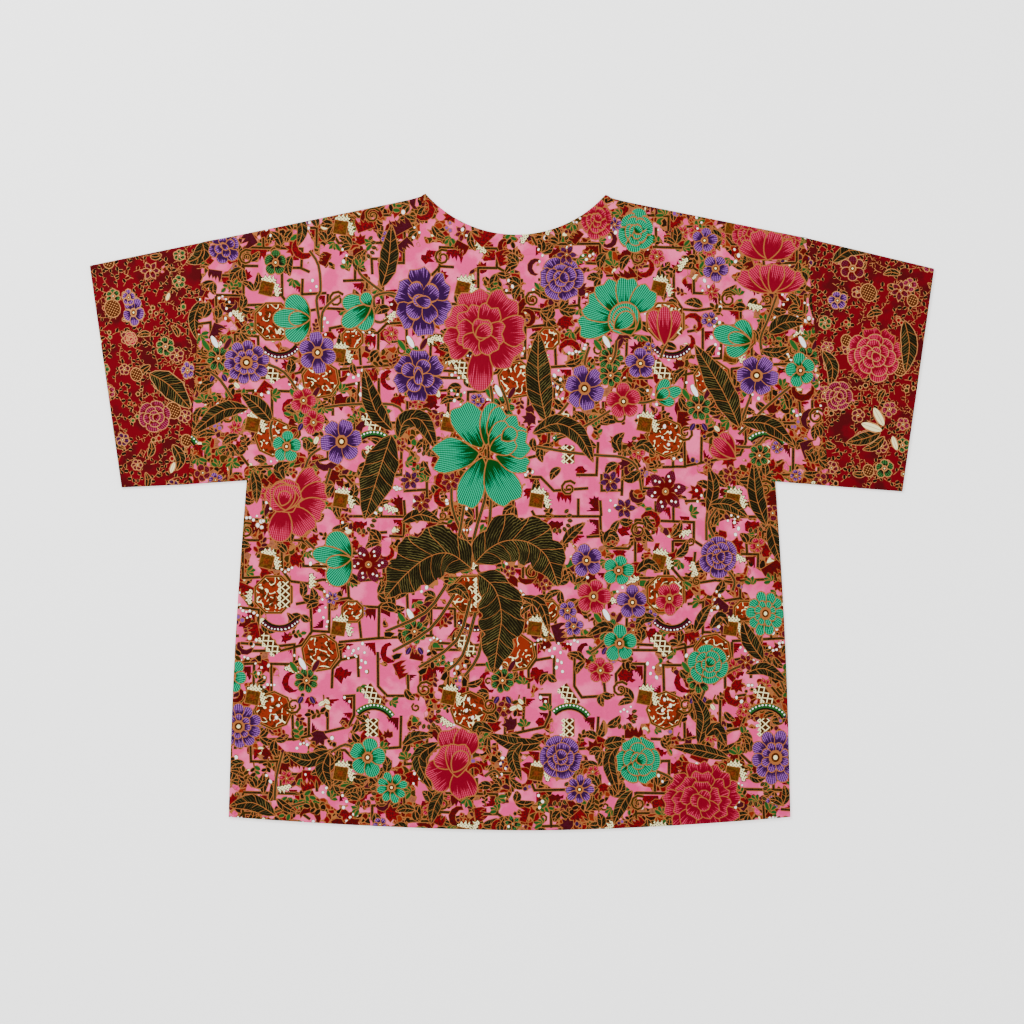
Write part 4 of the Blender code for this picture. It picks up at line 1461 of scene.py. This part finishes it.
def fine_outline(corners):
    """The outline in short steps, smooth wherever its corners are slight."""
    made = []
    count = len(corners)

    def turn_at(i):
        before = corners[i] - corners[i - 1]
        after = corners[(i + 1) % count] - corners[i]
        angle = math.atan2(before[0] * after[1] - before[1] * after[0], before @ after)
        return abs(math.degrees(angle))

    sharp = [turn_at(i) > SHARP_CORNER for i in range(count)]
    for i in range(count):
        b, c = corners[i], corners[(i + 1) % count]
        a = b if sharp[i] else corners[i - 1]
        d = c if sharp[(i + 1) % count] else corners[(i + 2) % count]
        steps = max(1, math.ceil(np.linalg.norm(c - b) / OUTLINE_STEP))
        for step in range(steps):
            t = step / steps
            if not sharp[i] and np.linalg.norm(c - b) > 2.5 * np.linalg.norm(b - a):
                made.append(b + (c - b) * t)
                continue
            bend_b = (c - a) / 2 if not sharp[i] else c - b
            bend_c = (d - b) / 2 if not sharp[(i + 1) % count] else c - b
            h = t * t * (3 - 2 * t)
            made.append(b + (c - b) * h + bend_b * (t**3 - 2 * t**2 + t) + bend_c * (t**3 - t**2))
    return np.array(made)


def edge_kind(place):
    """Which edge of a panel a place is on, and so how its cloth is turned there."""
    x, y = place
    if abs(x) > SLEEVE_SEAM_FROM:
        return "sleeve seam"
    if y < HEM_BELOW:
        return "hem"
    if y > NECK_ABOVE and NECK_SPAN[0] < x < NECK_SPAN[1]:
        return "neck"
    return "seam"


def tucked(outline):
    """The outline with its sleeve seams let out, to lie inside the red sleeve ends."""
    moved = outline.copy()
    for place in moved:
        if edge_kind(place) == "sleeve seam":
            place[0] += math.copysign(SEAM_TUCK, place[0])
    return moved


def crease_height(places, creases):
    total = np.zeros(len(places))
    for rise, half_width, path in creases:
        line = eased(route(path), 3)
        low, high = line.min(axis=0) - 4 * half_width, line.max(axis=0) + 4 * half_width
        near = np.flatnonzero(((places > low) & (places < high)).all(axis=1))
        if not len(near):
            continue
        across, along, stations = along_line(places[near], line)
        from_ends = [np.linalg.norm(places[near] - end, axis=1) for end in (line[0], line[-1])]
        at_end = (along <= 1e-6) | (along >= stations[-1] - 1e-6)
        fade = np.clip(np.minimum(along, stations[-1] - along) / (stations[-1] * 0.22), 0, 1)
        fade = fade * fade * (3 - 2 * fade)
        aside = np.where(at_end, np.maximum(np.abs(across), np.minimum(*from_ends)), np.abs(across))
        total[near] += rise * np.exp(-((aside / half_width) ** 2)) * fade
    return total


def swell_height(places, swells):
    total = np.zeros(len(places))
    for x, y, half_length, half_width, turn, rise in swells:
        c, s = aim(turn)
        off = places - (x, y)
        along, aside = off @ (c, s), off @ (-s, c)
        reach = (along / half_length) ** 2 + (aside / half_width) ** 2
        total += np.where(reach < 1, rise * (1 - np.minimum(reach, 1)) ** 2, 0)
    return total


def edge_distance(places, outline, kinds):
    """How far each place is from the outline, up to a limit, and the kind of its nearest edge."""
    after = np.roll(outline, -1, axis=0)
    runs = after - outline
    squares = (runs**2).sum(axis=1)
    distance = np.full(len(places), FAR_FROM_EDGE)
    nearest = np.zeros(len(places), int)
    for part in np.array_split(np.arange(len(places)), max(1, len(places) // 3000)):
        off = places[part, None, :] - outline[None]
        t = np.clip((off * runs).sum(axis=2) / squares, 0, 1)
        reach = np.hypot(off[..., 0] - t * runs[:, 0], off[..., 1] - t * runs[:, 1])
        nearest[part] = reach.argmin(axis=1)
        distance[part] = np.minimum(reach.min(axis=1), FAR_FROM_EDGE)
    return distance, np.array(kinds)[nearest]


# How the cloth rolls down at each kind of edge: depth and width
EDGE_ROLL = {"seam": (0.8, 2.6), "sleeve seam": (1.4, 4.0), "hem": (0.35, 1.8), "neck": (0.35, 1.8)}
SLEEVE_ROLL = {"under": (0.85, 3.0), "mouth": (0.35, 2.2), "cuff": (0.3, 1.6)}


def roll_down(distance, kind, rolls):
    depth, width = np.array([rolls[k] for k in kind]).T
    return np.clip(1 - distance / width, 0, 1) ** 2 * depth


def panel_surface(outline, swells, creases, upwards):
    """Heights of a panel's two faces: printed face 0, other face 1."""
    kinds = [edge_kind(place) for place in outline]

    def surface(places, side):
        distance, kind = edge_distance(places, outline, kinds)
        roll = roll_down(distance, kind, EDGE_ROLL)
        calm = np.clip(distance / CALM_EDGE, 0, 1)
        form = swell_height(places, swells) + crease_height(places, creases) * calm
        height = STACK + form - roll
        if side:
            hem = np.isin(kind, ("hem", "neck")) & (distance < HEM_DEPTH)
            height = STACK + form - WALL - INNER_ROLL * roll - HEM_THICKER * hem
        if not upwards:
            height = STACK - height + 2 * form
        return np.column_stack([places, height])

    return surface


def crease_lines(creases):
    """Lines along each crease for the cloth to bend on."""
    made = []
    for rise, half_width, path in creases:
        line = eased(route(path), 4)
        for share in BEND_SHARES:
            made.append(sides(line, half_width * share)[0])
    return made


def clear_of_edges(lines, outline):
    """The parts of lines that lie inside an outline."""
    made = []
    for line in lines:
        run = []
        for place, keep in zip(line, within(line, outline)):
            if keep:
                run.append(place)
                continue
            if len(run) > 1:
                made.append(np.array(run))
            run = []
        if len(run) > 1:
            made.append(np.array(run))
    return made


def area_of(outline):
    """A flat outline's area in square metres."""
    return abs(twice_area(outline)) / 2 * 1e-6


def flat_size(outline):
    """Width and length, in metres, of the cloth that an outline is cut from."""
    width, length = (outline.max(axis=0) - outline.min(axis=0)) / 1000
    return (float(width), float(length))


def mirrored(shapes):
    """The drawing as seen from its back, for a panel that lies face down."""
    made = []
    for s in shapes:
        line = None if s.line is None else s.line * (-1, 1)
        made.append(Shape(s.points * (-1, 1), s.manner, s.ink, s.shade, line, s.width, s.dark, s.blunt))
    return made


pink_cloth = uncovered(pink_cloth)
PINK_GROUND = ("pink", "pale_pink")

front_outline = tucked(fine_outline(cad_outline("front_panel")))
front = cloth_piece(
    "front_cloth",
    front_outline,
    mirrored(pink_cloth),
    PINK_GROUND,
    clear_of_edges(crease_lines(FRONT_CREASES), front_outline),
    panel_surface(front_outline, (), FRONT_CREASES, False),
    pink_batik,
    face_down=True,
)
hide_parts("front_panel")
area_of(front_outline)

# The back's wrong side shows from below through the front's deeper neck, with the dye gone through
back_outline = tucked(fine_outline(cad_outline("back_panel")))
back_creases = CREASES + BACK_NECK_IMPRINT
scoop = [s for s in pink_cloth if (abs(s.points[:, 0]) < SCOOP_HALF_WIDTH).all()]
scoop = [s for s in scoop if s.points[:, 1].min() > NECK_ABOVE]
back = cloth_piece(
    "back_cloth",
    back_outline,
    pink_cloth,
    PINK_GROUND,
    clear_of_edges(crease_lines(back_creases), back_outline),
    panel_surface(back_outline, SWELLS, back_creases, True),
    pink_batik,
    inner=[s for s in scoop if s.manner in ("petal", "fill", "leaf")],
)
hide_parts("back_panel")
area_of(back_outline)

# Red sleeve ends
# Each is one strip of red vine-printed cotton, folded along the top of the arm, seamed under it,
# joined to both half sleeves at its mouth and hemmed at the cuff. Its chart is the camera's over
# the upper layer, and goes on past the fold for the lower one. Each has its corners in this order:
# the seam's foot and top, and the cuff's top and foot.
SLEEVES = {
    "left": ((-323.65, 27.5), (-309.65, 269.9), (-422.5, 246.5), (-390.5, 24.5)),
    "right": ((317.65, 26.0), (294.65, 274.2), (422.5, 243.5), (390.5, 20.5)),
}
SLEEVE_SWELLS = (
    (-360, 150, 80, 30, 80, 1.3), (358, 130, 80, 30, -80, 1.3),
)
FOLD_RADIUS = STACK / 2
FOLD_ARC = math.pi * FOLD_RADIUS
FOLD_STATIONS = (0, 0.17, 0.34, 0.5, 0.66, 0.83, 1)
FOLD_POINTS = 36

# The red cloth's growth: flowers and leaves in rows like those of the pink one, round berries
# (radius) and cream leaves (turn, length)
SLEEVE_FLOWERS = {
    "left": (
        ("five", 133, 312, 10, 60, 1.4, "purple"), ("five", 128, 297, 6, 90, 1.3, "purple"),
        ("rose", 154, 416, 15, 20, 1.0, "wine"), ("six", 165, 346, 9, 10, 1.0, "fern"),
        ("rose", 130, 338, 6, 0, 1.0, "red"), ("star", 150, 270, 8, 0, 1.0, "maroon"),
        ("five", 187, 370, 6, 30, 1.4, "purple"),
    ),
    "right": (
        ("peony", 874, 354, 27, 10, 1.0, "red"), ("five", 837, 300, 9, 30, 1.0, "purple"),
        ("rose", 838, 396, 13, 60, 1.1, "wine"), ("six", 852, 268, 12, 0, 1.0, "maroon"),
        ("star", 900, 290, 9, 20, 1.0, "maroon"), ("five", 884, 468, 9, 20, 1.0, "fern"),
    ),
}
SLEEVE_BERRIES = {
    "left": ((112, 308, 7.5), (136, 374, 5.5), (173, 410, 7), (108, 262, 5), (186, 440, 5)),
    "right": ((868, 292, 7.5), (899, 367, 7), (846, 340, 5), (912, 300, 5), (868, 470, 5)),
}
SLEEVE_LEAVES = {
    "left": (
        (11, ((149, 373), (168, 384), (190, 408))), (6, ((201, 300), (194, 318), (197, 340))),
        (5, ((172, 444), (180, 458), (176, 470))), (7, ((203, 240), (199, 256), (186, 262))),
    ),
    "right": (
        (8, ((904, 320), (909, 345), (905, 372))), (6, ((880, 432), (864, 438), (846, 442))),
        (4, ((884, 436), (874, 446), (862, 449))), (6, ((832, 262), (848, 250), (868, 252))),
        (6, ((822, 350), (832, 366), (830, 386))),
    ),
}
CREAM_LEAVES = {
    "left": ((174, 462, 250, 11), (166, 300, 70, 8)),
    "right": ((881, 430, 161, 21), (883, 425, 119, 20), (892, 436, 288, 14)),
}


class Fold:
    """The line along the top of a sleeve end that its strip is folded on."""

    def __init__(self, seam_foot, seam_top, cuff_top, cuff_foot):
        foot, top, end, cuff = (np.array(c) for c in (seam_foot, seam_top, cuff_top, cuff_foot))
        self.length = np.linalg.norm(end - top)
        self.along = (end - top) / self.length
        down = self.along[::-1] * (1, -1)
        self.down = down if down[1] < 0 else -down
        self.start = top + self.down * FOLD_RADIUS
        self.feet = np.column_stack(self.measure(np.array([foot, cuff])))

    def measure(self, places):
        """How far along the fold each place is, and how far towards the foot."""
        off = places - self.start
        return off @ self.along, off @ self.down

    def place(self, along, down):
        return self.start + np.outer(along, self.along) + np.outer(down, self.down)

    def outline(self):
        """The strip's outline, in short steps, and the kind of each stretch of its edge."""
        (foot, foot_down), (cuff, cuff_down) = self.feet
        corners = [
            (foot, foot_down, "under"),
            (cuff, cuff_down, "cuff"),
            (self.length, 0.0, "cuff"),
            (self.length, -FOLD_ARC, "cuff"),
            (cuff, -FOLD_ARC - cuff_down, "under"),
            (foot, -FOLD_ARC - foot_down, "mouth"),
            (0.0, -FOLD_ARC, "mouth"),
            (0.0, 0.0, "mouth"),
        ]
        points, kinds = [], []
        for (a, b, kind), (c, d, after) in zip(corners, corners[1:] + corners[:1]):
            steps = max(1, math.ceil(math.dist((a, b), (c, d)) / OUTLINE_STEP))
            for step in range(steps):
                points.append((a + (c - a) * step / steps, b + (d - b) * step / steps))
                kinds.append(kind)
        made = self.place(*np.array(points).T)
        if twice_area(made) < 0:
            made, kinds = made[::-1], kinds[-2::-1] + kinds[-1:]
        return made, kinds

    def lines(self):
        """Lines along the fold for the cloth to bend on."""
        along = np.linspace(2.0, self.length - 2.0, FOLD_POINTS)
        return [self.place(along, np.full(FOLD_POINTS, -FOLD_ARC * share)) for share in FOLD_STATIONS]


VINE_APART = 8.0
VINE_STEP = 4.3
VINE_CELL = 5.5
GROWTH_APART = 25.0
LOWER_START = 40
LOWER_APART = 34


def vine(cloth, hand, x, y, taken):
    """A branch of the vine in an S, with a loop leaflet at each side in turn. It stops short of
    the branches drawn before it, which have taken their places on the cloth."""
    heading, bend = hand.uniform(0, 360), hand.choice((-1, 1)) * hand.uniform(10, 24)
    path, headings, cells = [chart(x, y)], [], []
    for number in range(hand.randint(5, 9)):
        heading += bend if number < 4 else -bend
        tip = ahead(path[-1], heading, VINE_STEP)
        cell = (tip[0] // VINE_CELL, tip[1] // VINE_CELL)
        if cell in taken:
            break
        path.append(tip)
        headings.append(heading)
        cells.append(cell)
    if len(headings) < 3:
        return
    taken.update(cells)
    cloth.append(Shape(band(path, 0.27), "fill", "pale_gold", "gold"))
    ink = hand.choice(("coffee", "coffee", "leaf_dark", "deep_crimson"))
    for number, (at, heading) in enumerate(zip(path[1:], headings)):
        aside = heading + (1, -1)[number % 2] * hand.uniform(35, 75)
        reach = hand.uniform(3.2, 4.8)
        leaflet(cloth, at, aside, reach, reach * 0.3, ink, "leaf_dark", 0.28)


def scattered(hand, outline, apart, astray):
    """Places on the chart over an outline, in rows, each a little astray."""
    low, high = outline.min(axis=0), outline.max(axis=0)
    for row_y in np.arange(low[1], high[1], apart):
        for row_x in np.arange(low[0], high[0], apart):
            x = row_x + hand.uniform(-astray, astray) + CHART_MIDDLE
            yield x, CHART_MIDDLE - row_y - hand.uniform(-astray, astray)


def vine_cloth(fold, outline, side, hand):
    """The red print of one sleeve end, on its strip."""
    cloth, taken = [], set()
    for x, y in scattered(hand, outline, VINE_APART, 3):
        vine(cloth, hand, x, y, taken)
    for x, y in scattered(hand, outline, GROWTH_APART, 9):
        kind = hand.random()
        if kind < 0.25:
            berries(cloth, hand, x, y, hand.randint(2, 3), ("coffee", "bark", "crimson", "fern"))
        elif kind < 0.5:
            small_leaf(cloth, x, y, hand.uniform(0, 360), hand.uniform(11, 18), hand.uniform(2.4, 3.4))
        elif kind < 0.6:
            disc(cloth, x, y, hand.uniform(1.4, 2.2), "cream", "coffee", 0.5, manner="heart")
        else:
            colour = hand.choice(("maroon", "maroon", "fern", "wine", "violet"))
            rounds, radius = hand.choice(("five", "six")), hand.uniform(4.5, 7)
            bloom(cloth, hand, rounds, x, y, radius, hand.uniform(0, 90), 1.0, colour)
    for x, y, radius in SLEEVE_BERRIES[side]:
        for wider, ink in ((0.8, "pale_gold"), (0.0, "umber")):
            cloth.append(Shape(placed(ring(radius + wider, 12, 1.15), x, y, 20), "fill", ink))
        spot(cloth, ring(radius - 0.7, 12, 1.15), "lace", "umber", "pale_gold", x, y, 20)
    for half_width, midrib in SLEEVE_LEAVES[side]:
        leaf(cloth, half_width, midrib)
    for x, y, turn, length in CREAM_LEAVES[side]:
        leaflet(cloth, chart(x, y), turn, length, length * 0.16, "cream", "tan", 1.0)
    for values in SLEEVE_FLOWERS[side]:
        bloom(cloth, hand, *values)
    for number, rounds in enumerate(("rose", "six", "five", "rose", "star", "six")):
        along, down = hand.uniform(25, fold.length - 25), -FOLD_ARC - LOWER_START - LOWER_APART * number
        x, y = chart_of(*fold.place([along], [down])[0])
        colour = ("red", "purple", "fern")[number % 3]
        bloom(cloth, hand, rounds, x, y, hand.uniform(11, 17), 20 * number, 1.0, colour)
    return uncovered(cloth)


def sleeve_surface(fold, outline, kinds, swells):
    """Places of a sleeve end's two faces on the flattened tube: printed face 0, other face 1."""

    def surface(places, side):
        distance, kind = edge_distance(places, outline, kinds)
        roll = roll_down(distance, kind, SLEEVE_ROLL)
        hem = (kind == "cuff") & (distance < HEM_DEPTH)
        wall = (WALL + CUFF_THICKER * hem) * side
        along, down = fold.measure(places)
        turn = np.clip(-down / FOLD_RADIUS, 0, math.pi)
        from_axis = np.where(down >= 0, down, np.maximum(-down - FOLD_ARC, 0.0))
        reach = FOLD_RADIUS - wall - roll
        height = FOLD_RADIUS + reach * np.cos(turn)
        at = fold.start + np.outer(along, fold.along)
        at = at + np.outer(from_axis - reach * np.sin(turn) * (from_axis == 0), fold.down)
        calm = np.clip(distance / CALM_EDGE, 0, 1) * np.clip(down / CALM_EDGE, 0, 1)
        height = height + swell_height(at, swells) * (down > 0) * calm
        return np.column_stack([at, height])

    return surface


red_batik = printed_cotton("red_batik", "pale_gold")
for side in ("left", "right"):
    fold = Fold(*SLEEVES[side])
    outline, kinds = fold.outline()
    sleeve = cloth_piece(
        f"{side}_sleeve_cloth",
        outline,
        vine_cloth(fold, outline, side, random.Random(side)),
        ("red_ground", "dark_red"),
        fold.lines(),
        sleeve_surface(fold, outline, kinds, SLEEVE_SWELLS),
        red_batik,
        folds=fold.lines(),
    )
    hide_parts(f"{side}_sleeve_end")
    flat_size(outline)
    area_of(outline)

boxes = {"cad": cad_box, "visual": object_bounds()}
{name: [list(corner) for corner in box] for name, box in boxes.items()}
